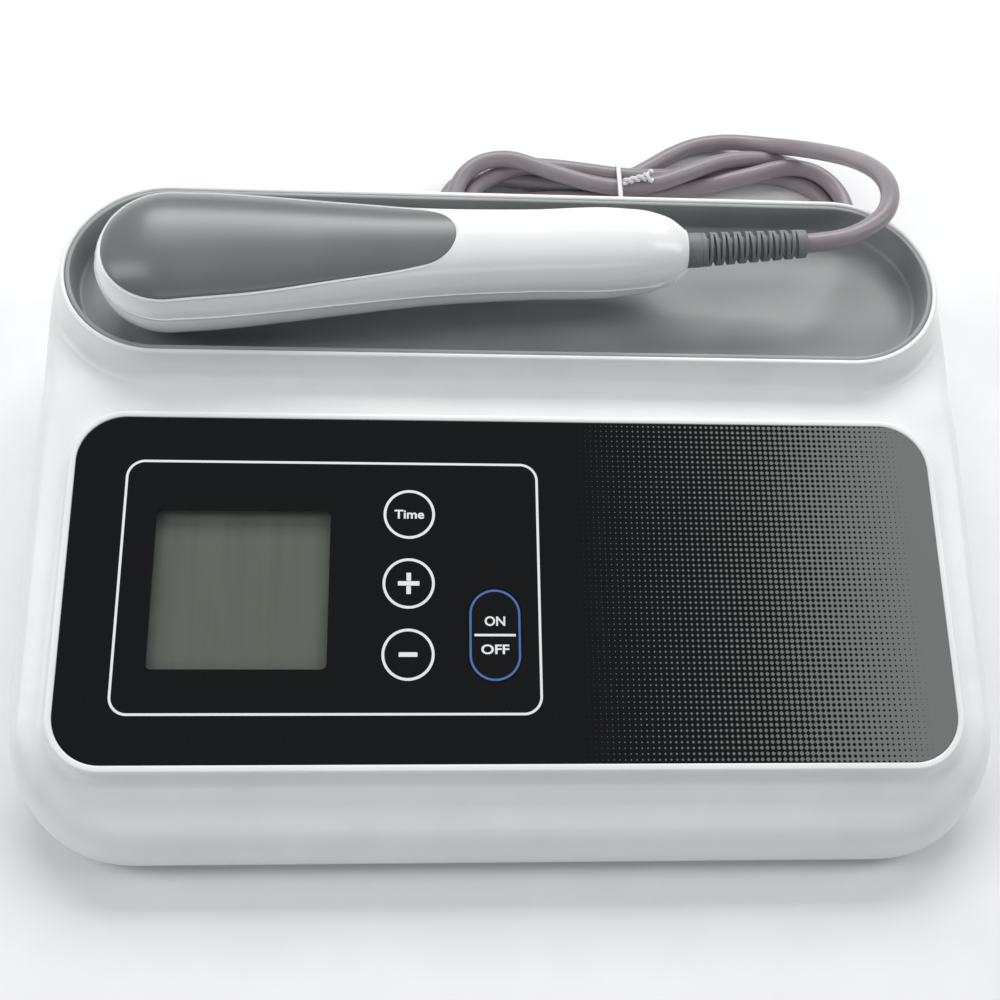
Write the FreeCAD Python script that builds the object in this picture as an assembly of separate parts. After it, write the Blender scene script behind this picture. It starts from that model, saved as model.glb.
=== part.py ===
import FreeCAD, Part
import math
import os
from FreeCAD import Placement, Rotation, Vector

# Bench-top ultrasound therapy unit with its handset lying in the tray.
# Millimetres.  +X is the unit's right, +Y its rear, +Z up; the floor is z = 0
# and the origin is under the middle of the unit.

os.makedirs("parts", exist_ok=True)

# ---- case ----
HALF_W = 142.0            # half width of the case
HALF_D = 103.0            # half depth of the case
FRONT_R = 36.0            # plan radius of the front corners
REAR_R = 34.0             # plan radius of the rear corners
WALL = 2.2                # moulded wall
FOOT_H = 2.0              # rubber foot below the base
SPLIT_Z = 7.0             # where the two case halves meet
ROLL_R = 17.0             # round of the front edge
DECK_SLOPE = math.radians(10.1)
DECK_Y0, DECK_Z0 = -86.0, 22.0    # a point on the sloping deck
TOP_Z = 41.6              # level top behind the deck
SHOULDER_R = 6.0          # round along the sides of the deck
FIT = 0.15                # clearance between moulded parts that nest

# ---- control panel, in its own plane: u right, v up the slope, w out ----
PANEL_Y, PANEL_Z = -30.0, 36.0    # centre of the panel face
PANEL_TILT = 8.0                  # degrees
PANEL_U, PANEL_V = 127.5, 51.15   # half sizes of the black overlay
PANEL_R = 14.0
BEZEL = 2.2               # white edge round the overlay
OVERLAY_T = 1.2
PLATFORM_T = 2.0          # moulded plate under the overlay
PLATEAU_DEEP = 11.0       # depth of the plateau's ring wall
LCD_U, LCD_V = (-103.2, -53.0), (-24.7, 22.5)
LCD_R = 1.5
LCD_FACE_W = -3.25        # face of the display glass
KEY_U = -30.1
KEY_V = {"key_time": 21.5, "key_plus": 0.5, "key_minus": -20.4}
KEY_R = 7.62
POWER_KEY_UV = (-5.3, -14.6)
POWER_KEY_HALF = (7.7, 13.7)
KEY_GAP = 0.13            # round each key cap
KEY_STEM_R = 1.5
KEY_STEM_END = -5.4       # w of the stem's foot
KEY_TRAVEL = 0.4
BOARD_W = -8.0            # upper face of the display board
BOARD_T = 1.6

# ---- tray ----
TRAY_Y = 70.4             # centre line of the tray
RIM_Z = 51.0
RIM_L, RIM_B = 138.2, 32.0        # half sizes of the white rim, outside
LINER_L, LINER_B = 136.3, 30.2    # half sizes of the grey liner's lip
LIP = 1.5
LINER_T = 1.7
TRAY_FLOOR_Z = 40.0
FLOOR_INSET = 2.8         # from the liner's lip to its flat floor
WELL_FLOOR_Z = 38.2

# ---- handset ----
HEAD_X, HEAD_Y = -102.9, 67.5     # axis of the treatment head
HANDSET_YAW = 2.3                 # degrees, it lies a little askew
HEAD_R = 22.7
HANDSET_WALL = 2.2
COVER_T = 1.2             # grey top cover, let into the upper shell
PART_Z = 58.2             # where the handset's halves meet
FACE_R = 15.0             # metal treatment face
FACE_Z = 40.3
CUP_R = 12.5
TAIL_S = 158.0            # rear end of the shells, from the head axis
TAIL_Z = 59.5
RELIEF_LEN = 38.0
RELIEF_PITCH = 4.5        # degrees, the strain relief rises slightly

# Cross-sections: distance from the head axis, half width, height above and
# depth below the centre, height of the centre, exponent of the outline.
HANDSET_SECTIONS = [
    (15.0, 22.0, 14.9, 13.4, 56.2, 2.35),
    (35.0, 20.0, 14.2, 12.9, 56.5, 2.3),
    (50.0, 18.3, 13.7, 12.6, 56.8, 2.25),
    (80.0, 15.3, 12.6, 12.2, 57.6, 2.2),
    (110.0, 14.2, 12.1, 12.0, 58.3, 2.2),
    (138.0, 13.9, 11.9, 11.9, 59.0, 2.2),
    (148.0, 12.4, 10.8, 10.8, 59.3, 2.15),
    (154.5, 9.6, 8.6, 8.6, 59.4, 2.1),
    (TAIL_S, 6.6, 6.2, 6.2, TAIL_Z, 2.0),
]
HEAD_UP, HEAD_DOWN, HEAD_MID_Z, HEAD_EXP = 15.0, 13.6, 56.0, 2.4

# ---- cord ----
CORD_D = 6.0
HANK_X = (-21.0, 137.0)
HANK_Y = (112.5, 153.0)
HANK_TOP = 15.0
GLAND_X, GLAND_Z = -62.0, 14.5
JACK_X, JACK_Z = -96.0, 17.0

Z = Vector(0, 0, 1)


# ---------------------------------------------------------------- helpers

def save(name, *solids):
    shape = solids[0] if len(solids) == 1 else Part.makeCompound(list(solids))
    bad = [s for s in shape.Solids if not s.isValid() or s.Volume <= 0]
    print("%-24s solids %2d  volume %9.1f%s"
          % (name, len(shape.Solids), shape.Volume, "  INVALID" if bad else ""))
    shape.exportStep("parts/%s.step" % name)


def box(x, y, z):
    """Box between pairs of limits."""
    return Part.makeBox(x[1] - x[0], y[1] - y[0], z[1] - z[0], Vector(x[0], y[0], z[0]))


def rod(radius, x, y, z, axis=Z):
    """Cylinder along +Z between two heights, or from z[0] along another axis."""
    return Part.makeCylinder(radius, z[1] - z[0], Vector(x, y, z[0]), axis)


def corner_arc(centre, radius, start_deg):
    """Quarter circle, anticlockwise."""
    at = [centre + Vector(radius * math.cos(a), radius * math.sin(a), 0)
          for a in (math.radians(start_deg + step) for step in (0, 45, 90))]
    return Part.Arc(*at).toShape()


def rounded_outline(x, y, z, r_front, r_rear=None):
    """Rectangle in plan with rounded front and rear corners."""
    r_rear = r_front if r_rear is None else r_rear
    corners = [(x[1], y[0], r_front, -90), (x[1], y[1], r_rear, 0),
               (x[0], y[1], r_rear, 90), (x[0], y[0], r_front, 180)]
    arcs = []
    for cx, cy, r, start in corners:
        inward = Vector(math.copysign(r, -cx + (x[0] + x[1]) / 2),
                        math.copysign(r, -cy + (y[0] + y[1]) / 2), 0)
        arcs.append(corner_arc(Vector(cx, cy, z) + inward, r, start))
    edges = []
    for arc, following in zip(arcs, arcs[1:] + arcs[:1]):
        edges.append(arc)
        a, b = arc.Vertexes[-1].Point, following.Vertexes[0].Point
        if a.distanceToPoint(b) > 1e-6:
            edges.append(Part.makeLine(a, b))
    return Part.Wire(edges)


def raised(wire, height):
    return Part.Face(wire).extrude(Vector(0, 0, height))


def stadium(half_l, half_b, z):
    """Outline with half-round ends about the tray's centre."""
    return rounded_outline((-half_l, half_l), (TRAY_Y - half_b, TRAY_Y + half_b), z, half_b - 1e-4)


def stadium_block(half_l, half_b, z):
    return raised(stadium(half_l, half_b, z[0]), z[1] - z[0])


def on_panel(shape):
    """Moves a shape from the panel's own plane to the case."""
    moved = shape.copy()
    moved.rotate(Vector(0, 0, 0), Vector(1, 0, 0), PANEL_TILT)
    moved.translate(Vector(0, PANEL_Y, PANEL_Z))
    return moved


def in_handset(shape):
    """Moves a shape from the head axis frame (s along the handle) to the tray."""
    moved = shape.copy()
    moved.rotate(Vector(0, 0, 0), Z, HANDSET_YAW)
    moved.translate(Vector(HEAD_X, HEAD_Y, 0))
    return moved


def screw(x, y, head_z, tip_z, shank_r, head_r, head_h):
    """Pan-head screw driven upwards, with a cross recess."""
    body = rod(head_r, x, y, (head_z, head_z + head_h)).fuse(
        rod(shank_r, x, y, (head_z + head_h, tip_z)))
    slot = head_r * 0.6
    thin = head_r * 0.14
    for a, b in ((slot, thin), (thin, slot)):
        body = body.cut(box((x - a, x + a), (y - b, y + b), (head_z, head_z + head_h * 0.5)))
    return body.removeSplitter()


def rounded_path(points, report=""):
    """Straight runs joined by tangent arcs as large as the runs allow."""
    pts = [Vector(*p) for p in points]
    edges, at, radii = [], pts[0], []
    for a, b, c in zip(pts, pts[1:], pts[2:]):
        into, out = (b - a), (c - b)
        turn = into.getAngle(out)
        cut = 0.45 * min(into.Length, out.Length)
        radii.append(cut / math.tan(turn / 2))
        into.normalize()
        out.normalize()
        start, end = b - into * cut, b + out * cut
        half = (out - into)
        half.normalize()
        centre = b + half * (radii[-1] / math.cos(turn / 2))
        middle = centre - half * radii[-1]
        edges.append(Part.LineSegment(at, start).toShape())
        edges.append(Part.Arc(start, middle, end).toShape())
        at = end
    edges.append(Part.LineSegment(at, pts[-1]).toShape())
    if report:
        print("%s: radii %s" % (report, ", ".join("%.0f" % r for r in radii)))
    return Part.Wire(edges)


def tube(points, diameter, report=""):
    path = rounded_path(points, report)
    start = Vector(*points[0])
    ahead = Vector(*points[1]) - start
    ring = Part.Wire([Part.Circle(start, ahead, diameter / 2).toShape()])
    solid = Part.Wire(path).makePipeShell([ring], True, False)
    if report:
        expected = math.pi * diameter ** 2 / 4 * path.Length
        print("%s: length %.0f, volume %.0f, section x length %.0f"
              % (report, path.Length, solid.Volume, expected))
    return solid


# ------------------------------------------------------------------- case

def case_block(inset):
    """Whole outside of the case, or the same shape drawn in by inset."""
    front, rear = -HALF_D + inset, HALF_D - inset
    plan = rounded_outline((-HALF_W + inset, HALF_W - inset), (front, rear),
                           FOOT_H - 1, FRONT_R - inset, REAR_R - inset)
    prism = raised(plan, TOP_Z + 10)
    roll = ROLL_R - inset
    centre_y = -HALF_D + ROLL_R
    line_z = DECK_Z0 + math.tan(DECK_SLOPE) * (centre_y - DECK_Y0)
    centre_z = line_z - ROLL_R / math.cos(DECK_SLOPE)
    crest = (centre_y - roll * math.sin(DECK_SLOPE), centre_z + roll * math.cos(DECK_SLOPE))
    mid_a = (math.pi / 2 + DECK_SLOPE + math.pi) / 2
    mid = (centre_y + roll * math.cos(mid_a), centre_z + roll * math.sin(mid_a))
    top = TOP_Z - inset
    knee_y = crest[0] + (top - crest[1]) / math.tan(DECK_SLOPE)

    def at(y, z):
        return Vector(-HALF_W - 1, y, z)
    low = FOOT_H - 2
    edges = [Part.makeLine(at(rear + 1, low), at(front, low)),
             Part.makeLine(at(front, low), at(front, centre_z)),
             Part.Arc(at(front, centre_z), at(*mid), at(*crest)).toShape(),
             Part.makeLine(at(*crest), at(knee_y, top)),
             Part.makeLine(at(knee_y, top), at(rear + 1, top)),
             Part.makeLine(at(rear + 1, top), at(rear + 1, low))]
    side = Part.Face(Part.Wire(edges)).extrude(Vector(2 * HALF_W + 2, 0, 0))
    return prism.common(side)


def soften_shoulders(block):
    """Rounds the long edges where the deck meets the sides."""
    edges = [e for e in block.Edges
             if abs(abs(e.CenterOfMass.x) - HALF_W) < 0.01
             and e.CenterOfMass.z > DECK_Z0 and e.CenterOfMass.z < TOP_Z - 0.5]
    try:
        rounded = block.makeFillet(SHOULDER_R, edges)
        if rounded.isValid():
            return rounded
    except Part.OCCError:
        pass
    print("shoulders left square")
    return block


def panel_block(grow, w):
    """Block with the panel's outline, grown all round, between two levels w."""
    u, v = PANEL_U + grow, PANEL_V + grow
    return on_panel(raised(rounded_outline((-u, u), (-v, v), w[0], PANEL_R + grow), w[1] - w[0]))


def key_block(name, grow, w):
    """Disc or oval of one key, grown all round, between two levels w."""
    if name == "key_on_off":
        (u, v), (a, b) = POWER_KEY_UV, POWER_KEY_HALF
        a, b = a + grow, b + grow
        outline = rounded_outline((u - a, u + a), (v - b, v + b), w[0], a - 1e-4)
        return raised(outline, w[1] - w[0])
    return rod(KEY_R + grow, KEY_U, KEY_V[name], w)


def key_centre(name):
    return POWER_KEY_UV if name == "key_on_off" else (KEY_U, KEY_V[name])


KEY_NAMES = list(KEY_V) + ["key_on_off"]
CASE_SCREWS = [(side * x, y, top) for side in (-1, 1)
               for x, y, top in ((124, -68, 28.3), (126, 19, 39.5), (110, 88, 37.0))]
BOARD_POSTS = [(-104.5, 31.5), (2.5, 31.5), (-104.5, -33.0), (8.5, -33.0)]
PCB_X, PCB_Y, PCB_Z = (14.0, 118.5), (-66.0, 18.0), (9.0, 10.6)
PCB_POSTS = [(x, y) for x in (18.0, 114.5) for y in (-62.0, 14.0)]
FEET = [(side * 112.0, y) for side in (-1, 1) for y in (-74.0, 74.0)]
GLAND_FLANGE_R = 6.5


def make_top_shell():
    outer = soften_shoulders(case_block(0)).fuse(stadium_block(RIM_L, RIM_B, (TOP_Z - 8, RIM_Z)))
    skirt = Part.makeLoft([stadium(RIM_L + 3.4, RIM_B + 5.0, TOP_Z - 1.0),
                           stadium(RIM_L + 0.6, RIM_B + 0.8, RIM_Z - 5.0)], True, True)
    keep = box((-HALF_W, HALF_W), (-HALF_D, HALF_D), (0, RIM_Z + 5))
    outer = outer.fuse(skirt.common(keep).common(raised(
        rounded_outline((-HALF_W, HALF_W), (-HALF_D, HALF_D), 0, FRONT_R, REAR_R), RIM_Z)))
    outer = outer.fuse(panel_block(BEZEL, (-PLATEAU_DEEP, 0.3)))
    hollow = case_block(WALL).cut(stadium_block(HALF_W - 1.5, RIM_B + 2.3, (WELL_FLOOR_Z - WALL, 60)))
    shell = outer.cut(hollow)
    shell = shell.cut(stadium_block(LINER_L + FIT, LINER_B + FIT, (WELL_FLOOR_Z, 60)))
    under = -OVERLAY_T - PLATFORM_T
    shell = shell.fuse(panel_block(BEZEL, (-PLATEAU_DEEP, under)))
    shell = shell.cut(panel_block(0, (-PLATEAU_DEEP - 8, under)))
    shell = shell.cut(panel_block(FIT, (-OVERLAY_T - 0.02, 5)))
    posts = [rod(4.2, x, y, (9.1, top)) for x, y, top in CASE_SCREWS]
    shell = shell.multiFuse(posts)
    cuts = [rod(1.55, x, y, (0, 21)) for x, y, top in CASE_SCREWS]
    for name in KEY_NAMES:
        u, v = key_centre(name)
        cuts.append(on_panel(key_block(name, 0.7, (-OVERLAY_T - 0.75, 1))))
        cuts.append(on_panel(rod(KEY_STEM_R + 0.2, u, v, (-8, 1))))
    cuts.append(on_panel(box((LCD_U[0] - 1, LCD_U[1] + 1), (LCD_V[0] - 1, LCD_V[1] + 1), (-6, 1))))
    cuts.append(rod(GLAND_FLANGE_R - 2.4, GLAND_X, HALF_D + 3, (0, 12), Vector(0, -1, 0)).translated(
        Vector(0, 0, GLAND_Z)))
    cuts.append(rod(5.6, JACK_X, HALF_D + 3, (0, 12), Vector(0, -1, 0)).translated(
        Vector(0, 0, JACK_Z)))
    cuts.append(box((-200, 200), (-200, 200), (-5, SPLIT_Z)))
    shell = shell.cut(cuts)
    board_posts = [on_panel(rod(2.6, u, v, (BOARD_W, under + 0.5)).cut(
        rod(1.1, u, v, (BOARD_W - 1, under - 0.6)))) for u, v in BOARD_POSTS]
    return shell.multiFuse(board_posts).removeSplitter()


def make_base_shell():
    inset = 1.0
    plan = rounded_outline((-HALF_W + inset, HALF_W - inset), (-HALF_D + inset, HALF_D - inset),
                           FOOT_H, FRONT_R - inset, REAR_R - inset)
    pan = raised(plan, SPLIT_Z - FIT - FOOT_H)
    lip = WALL + FIT + 0.9
    pan = pan.fuse(raised(rounded_outline(
        (-HALF_W + lip, HALF_W - lip), (-HALF_D + lip, HALF_D - lip),
        FOOT_H, FRONT_R - lip, REAR_R - lip), 8.6 - FOOT_H))
    deep = lip + 1.6
    pan = pan.cut(raised(rounded_outline(
        (-HALF_W + deep, HALF_W - deep), (-HALF_D + deep, HALF_D - deep),
        FOOT_H + WALL, FRONT_R - deep, REAR_R - deep), 30))
    floor = FOOT_H + WALL
    posts = [rod(4.6, x, y, (FOOT_H, 9.0)) for x, y, top in CASE_SCREWS]
    posts += [rod(3.6, x, y, (floor - 0.5, PCB_Z[0])) for x, y in PCB_POSTS]
    cuts = [rod(1.75, x, y, (0, 12)) for x, y, top in CASE_SCREWS]
    cuts += [rod(3.2, x, y, (0, 5.0)) for x, y, top in CASE_SCREWS]
    cuts += [rod(1.3, x, y, (floor, 12)) for x, y in PCB_POSTS]
    cuts += [rod(7.6, x, y, (0, FOOT_H + 0.8)) for x, y in FEET]
    slots = [box((x - 1.2, x + 1.2), (-18, 18), (0, 10)) for x in range(-84, -35, 8)]
    return pan.multiFuse(posts).cut(cuts + slots).removeSplitter()


def make_tray_liner():
    """Grey dish with a stepped lip, drafted walls and a flat floor."""
    lip_z = RIM_Z - 0.4
    outside = stadium_block(LINER_L, LINER_B, (lip_z - 1.4, lip_z)).fuse(Part.makeLoft(
        [stadium(LINER_L - FLOOR_INSET + 1.1, LINER_B - FLOOR_INSET + 1.1, WELL_FLOOR_Z + 0.1),
         stadium(LINER_L - LIP + LINER_T - 0.6, LINER_B - LIP + LINER_T - 0.6, lip_z - 1.0)],
        True, True))
    wall_top = LIP
    inside = Part.makeLoft(
        [stadium(LINER_L - FLOOR_INSET - 0.4, LINER_B - FLOOR_INSET - 0.4, TRAY_FLOOR_Z),
         stadium(LINER_L - FLOOR_INSET + 0.4, LINER_B - FLOOR_INSET + 0.4, TRAY_FLOOR_Z + 1.6),
         stadium(LINER_L - wall_top, LINER_B - wall_top, lip_z + 0.1)], True, True)
    step = stadium_block(LINER_L - 0.6, LINER_B - 0.6, (lip_z - 0.5, lip_z + 1))
    return outside.cut(inside).cut(step).removeSplitter()


def make_overlay():
    plate = panel_block(0, (-OVERLAY_T, 0))
    cuts = [on_panel(key_block(name, KEY_GAP, (-3, 2))) for name in KEY_NAMES]
    cuts.append(on_panel(raised(rounded_outline(LCD_U, LCD_V, -3, LCD_R), 5)))
    return plate.cut(cuts)


def make_key(name):
    u, v = key_centre(name)
    cap = key_block(name, 0, (-OVERLAY_T, 0))
    return on_panel(cap.fuse(rod(KEY_STEM_R, u, v, (KEY_STEM_END, -OVERLAY_T))).removeSplitter())


def make_display():
    gap = 0.06
    lens = raised(rounded_outline(
        (LCD_U[0] + gap, LCD_U[1] - gap), (LCD_V[0] + gap, LCD_V[1] - gap), -OVERLAY_T,
        LCD_R - gap), OVERLAY_T)
    glass = box((LCD_U[0] - 0.8, LCD_U[1] + 0.8), (LCD_V[0] - 0.8, LCD_V[1] + 0.8),
                (LCD_FACE_W - 0.9, LCD_FACE_W))
    frame = box((LCD_U[0] - 3, LCD_U[1] + 3), (LCD_V[0] - 3, LCD_V[1] + 3),
                (BOARD_W + 0.02, LCD_FACE_W - 0.3))
    frame = frame.cut(box((LCD_U[0] - 0.9, LCD_U[1] + 0.9), (LCD_V[0] - 0.9, LCD_V[1] + 0.9),
                          (LCD_FACE_W - 0.92, 0)))
    return on_panel(lens), on_panel(glass), on_panel(frame)


def make_display_board():
    board = box((-108.5, 12.0), (-36.5, 35.0), (BOARD_W - BOARD_T, BOARD_W))
    board = board.cut([rod(1.3, u, v, (-20, 0)) for u, v in BOARD_POSTS])
    switches, screws = [], []
    for name in KEY_NAMES:
        u, v = key_centre(name)
        button_top = KEY_STEM_END - KEY_TRAVEL - 0.05
        body = box((u - 3, u + 3), (v - 3, v + 3), (BOARD_W, BOARD_W + 1.5))
        switches.append(on_panel(body.fuse(rod(1.2, u, v, (BOARD_W + 1.5, button_top)))))
    for u, v in BOARD_POSTS:
        screws.append(on_panel(screw(u, v, BOARD_W - BOARD_T - 1.6, -4.2, 1.05, 2.3, 1.6)))
    return on_panel(board), switches, screws


# ------------------------------------------------------------ electronics

def make_main_board():
    board = box(PCB_X, PCB_Y, PCB_Z)
    board = board.cut([rod(1.5, x, y, (0, 20)) for x, y in PCB_POSTS])
    top = PCB_Z[1]
    chips = [box((44, 56), (-40, -28), (top, top + 1.6)), box((28, 36), (-20, -14), (top, top + 1.6)),
             box((70, 78), (-52, -40), (top, top + 2.0))]
    header = box((18, 30), (-50, -44), (top, top + 6.0))
    return board.multiFuse(chips + [header]).removeSplitter()


def make_transformer():
    """Ferrite E core with a wound bobbin."""
    x, y, z = (60.0, 88.0), (-14.0, 12.0), (PCB_Z[1], PCB_Z[1] + 17.0)
    core = box(x, y, z)
    window = box((x[0] + 5, x[1] - 5), (y[0] - 1, y[1] + 1), (z[0] + 4, z[1] - 4))
    leg = box((x[0] + 10, x[1] - 10), y, (z[0] + 4, z[1] - 4))
    core = core.cut(window).fuse(leg).removeSplitter()
    winding = box((x[0] + 5.2, x[1] - 5.2), (y[0] - 3, y[1] + 3), (z[0] + 4.2, z[1] - 4.2))
    winding = winding.cut(box((x[0] + 9.9, x[1] - 9.9), (y[0] - 4, y[1] + 4),
                              (z[0] + 3, z[1] - 3)))
    return core, winding


def make_heat_sink():
    x, y, z = (96.0, 116.0), (-50.0, -8.0), (PCB_Z[1], PCB_Z[1] + 10.0)
    sink = box((x[0], x[0] + 3), y, z)
    fins = [box((x[0] + 2.5, x[1]), (y[0] + 1 + k * 5.6, y[0] + 2.4 + k * 5.6), z) for k in range(8)]
    devices = [box((x[0] - 4.6, x[0] - 0.05), (cy - 5, cy + 5), (z[0] + 0.05, z[0] + 9)) for cy in (-39, -19)]
    return sink.multiFuse(fins).removeSplitter(), devices


def make_capacitors():
    spots = [(36.0, 0.0, 5.0, 15.0), (48.0, 0.0, 5.0, 15.0), (36.0, -56.0, 4.0, 9.0)]
    return [rod(r, x, y, (PCB_Z[1], PCB_Z[1] + h)) for x, y, r, h in spots]


def make_buzzer():
    top = PCB_Z[1]
    return rod(6.0, 82.0, -30.0, (top, top + 8.0)).cut(rod(1.2, 82.0, -30.0, (top + 6.0, top + 9.0)))


def make_terminal_block():
    x, y, top = (24.0, 44.0), (8.5, 16.0), PCB_Z[1]
    block = box(x, y, (top, top + 9.0))
    holes = [Part.makeCylinder(1.5, 5, Vector(cx, y[1] + 0.5, top + 4), Vector(0, -1, 0))
             for cx in (29.0, 34.0, 39.0)]
    return block.cut(holes)


def make_jack():
    """Round low-voltage inlet: sleeve flush with the rear wall, and its centre pin."""
    back = HALF_D
    body = Part.makeCylinder(5.5, 14, Vector(JACK_X, back + 0.2, JACK_Z), Vector(0, -1, 0))
    flange = Part.makeCylinder(7.4, 1.2, Vector(JACK_X, back + 1.3, JACK_Z), Vector(0, -1, 0))
    body = body.fuse(flange)
    body = body.cut(Part.makeCylinder(3.0, 10.5, Vector(JACK_X, back + 1.4, JACK_Z), Vector(0, -1, 0)))
    pin = Part.makeCylinder(1.0, 11.5, Vector(JACK_X, back - 10.5, JACK_Z), Vector(0, 1, 0))
    return body.fuse(pin).removeSplitter()


GLAND_OUT_Y = HALF_D + 9.0
FLANGE_SEAT_Y = HALF_D + 0.1


def make_gland():
    """Rubber bush in the rear wall with a short ribbed sleeve."""
    y_dir = Vector(0, 1, 0)

    def ring(radius, y0, length, r_end=None):
        at = Vector(GLAND_X, y0, GLAND_Z)
        if r_end is None:
            return Part.makeCylinder(radius, length, at, y_dir)
        return Part.makeCone(radius, r_end, length, at, y_dir)
    neck = ring(GLAND_FLANGE_R - 2.5, HALF_D - WALL - 2.4, WALL + 3.0)
    flange = ring(GLAND_FLANGE_R, FLANGE_SEAT_Y, 1.6)
    inner = ring(GLAND_FLANGE_R - 0.6, HALF_D - WALL - 2.6, 2.4)
    sleeve = ring(4.9, FLANGE_SEAT_Y + 1.5, GLAND_OUT_Y - FLANGE_SEAT_Y - 1.5, 4.1)
    return neck.multiFuse([flange, inner, sleeve]).removeSplitter()


def make_ribbon():
    """Flat cable from the display board's edge down to the main board's header."""
    width, thick = 9.0, 0.6
    line = [(12.4, 25.2), (15.5, 25.2), (20.0, 22.6), (22.5, 17.4)]
    edges = []
    outline = [Vector(x, 0, z) for x, z in line] + [Vector(x - 0.3, 0, z - thick) for x, z in reversed(line)]
    for a, b in zip(outline, outline[1:] + outline[:1]):
        edges.append(Part.makeLine(a, b))
    return Part.Face(Part.Wire(edges)).extrude(Vector(0, width, 0)).translated(Vector(0, -51.0, 0))


def make_inlet_leads():
    """Two wires from the power inlet, under the tray, to the main board."""
    runs = []
    for k, dx in enumerate((-2.0, 2.0)):
        runs.append(tube([(JACK_X + dx, HALF_D - 14.0, JACK_Z), (JACK_X + dx + 2, 76.0, 15.0 + k),
                          (JACK_X + 24 + dx, 56.0, 9.0 + 3 * k), (-40.0 + dx, 44.0, 7.5 + 2.6 * k),
                          (-8.0, 38.0 + 3 * k, 8.0 + 2.6 * k), (17.0 + 3 * k, 33.0 + 2 * k, 11.5 + k),
                          (29.0 + 5 * k, 17.0, 14.6)], 1.6))
    return runs


def make_cord_leads():
    """Sheathed pair from the gland to the terminal block."""
    return tube([(GLAND_X, HALF_D - 5.1, GLAND_Z), (GLAND_X, 86.0, GLAND_Z), (-42.0, 68.0, 17.5),
                 (-12.0, 61.0, 18.0), (18.0, 52.0, 18.0), (35.0, 36.0, 17.0), (39.0, 17.0, 14.6)], 3.0)


def board_screw(x, y):
    """Pan-head screw driven down through the main board."""
    body = rod(2.6, x, y, (PCB_Z[1], PCB_Z[1] + 1.8)).fuse(rod(1.25, x, y, (5.0, PCB_Z[1])))
    for a, b in ((1.6, 0.35), (0.35, 1.6)):
        body = body.cut(box((x - a, x + a), (y - b, y + b), (PCB_Z[1] + 0.9, PCB_Z[1] + 2)))
    return body.removeSplitter()


# ---------------------------------------------------------------- handset

def section_wire(s, half, up, down, mid_z, power):
    """Closed smooth outline across the handle, flatter than an ellipse."""
    points = []
    for k in range(24):
        a = 2 * math.pi * k / 24
        c, d = math.cos(a), math.sin(a)
        t = math.copysign(half * abs(c) ** (2 / power), c)
        h = math.copysign((up if d > 0 else down) * abs(d) ** (2 / power), d)
        points.append(Vector(s, t, mid_z + h))
    curve = Part.BSplineCurve()
    even = [k / len(points) for k in range(len(points) + 1)]
    curve.interpolate(Points=points, PeriodicFlag=True, Parameters=even)
    return Part.Wire([curve.toShape()])


def handset_block(inset):
    """Whole outside of the handset, or the same shape drawn in by inset."""
    wires = []
    for deg in (14, 26, 42, 60, 76, 90):
        a = math.radians(deg)
        grow = math.sin(a)
        wires.append(section_wire(
            -(HEAD_R - inset) * math.cos(a), (HEAD_R - inset) * grow,
            (HEAD_UP - inset) * grow ** 0.8, (HEAD_DOWN - inset) * grow ** 0.75,
            HEAD_MID_Z, HEAD_EXP))
    for s, half, up, down, mid_z, power in HANDSET_SECTIONS:
        end = min(s, TAIL_S - inset)
        wires.append(section_wire(end, half - inset, up - inset, down - inset, mid_z, power))
    return Part.makeLoft(wires, True, False)


def cover_outline(grow, z):
    """Plan of the grey cover: round over the head, narrowing to a rounded tip."""
    head = 19.6 + grow
    upper = [(-head * math.cos(math.radians(d)), head * math.sin(math.radians(d)))
             for d in (0, 30, 60, 88)]
    upper += [(22.0, 18.0 + grow), (50.0, 14.2 + grow), (70.0, 11.3 + grow),
              (79.0, 9.6 + grow), (84.6 + grow, 5.8 + grow), (86.0 + grow, 0.0)]
    points = [Vector(s, t, z) for s, t in upper]
    points += [Vector(s, -t, z) for s, t in reversed(upper[1:-1])]
    curve = Part.BSplineCurve()
    curve.interpolate(Points=points, PeriodicFlag=True)
    return Part.Wire([curve.toShape()])


HANDSET_SCREWS = [(92.0, 47.2), (140.0, 48.8)]


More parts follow.
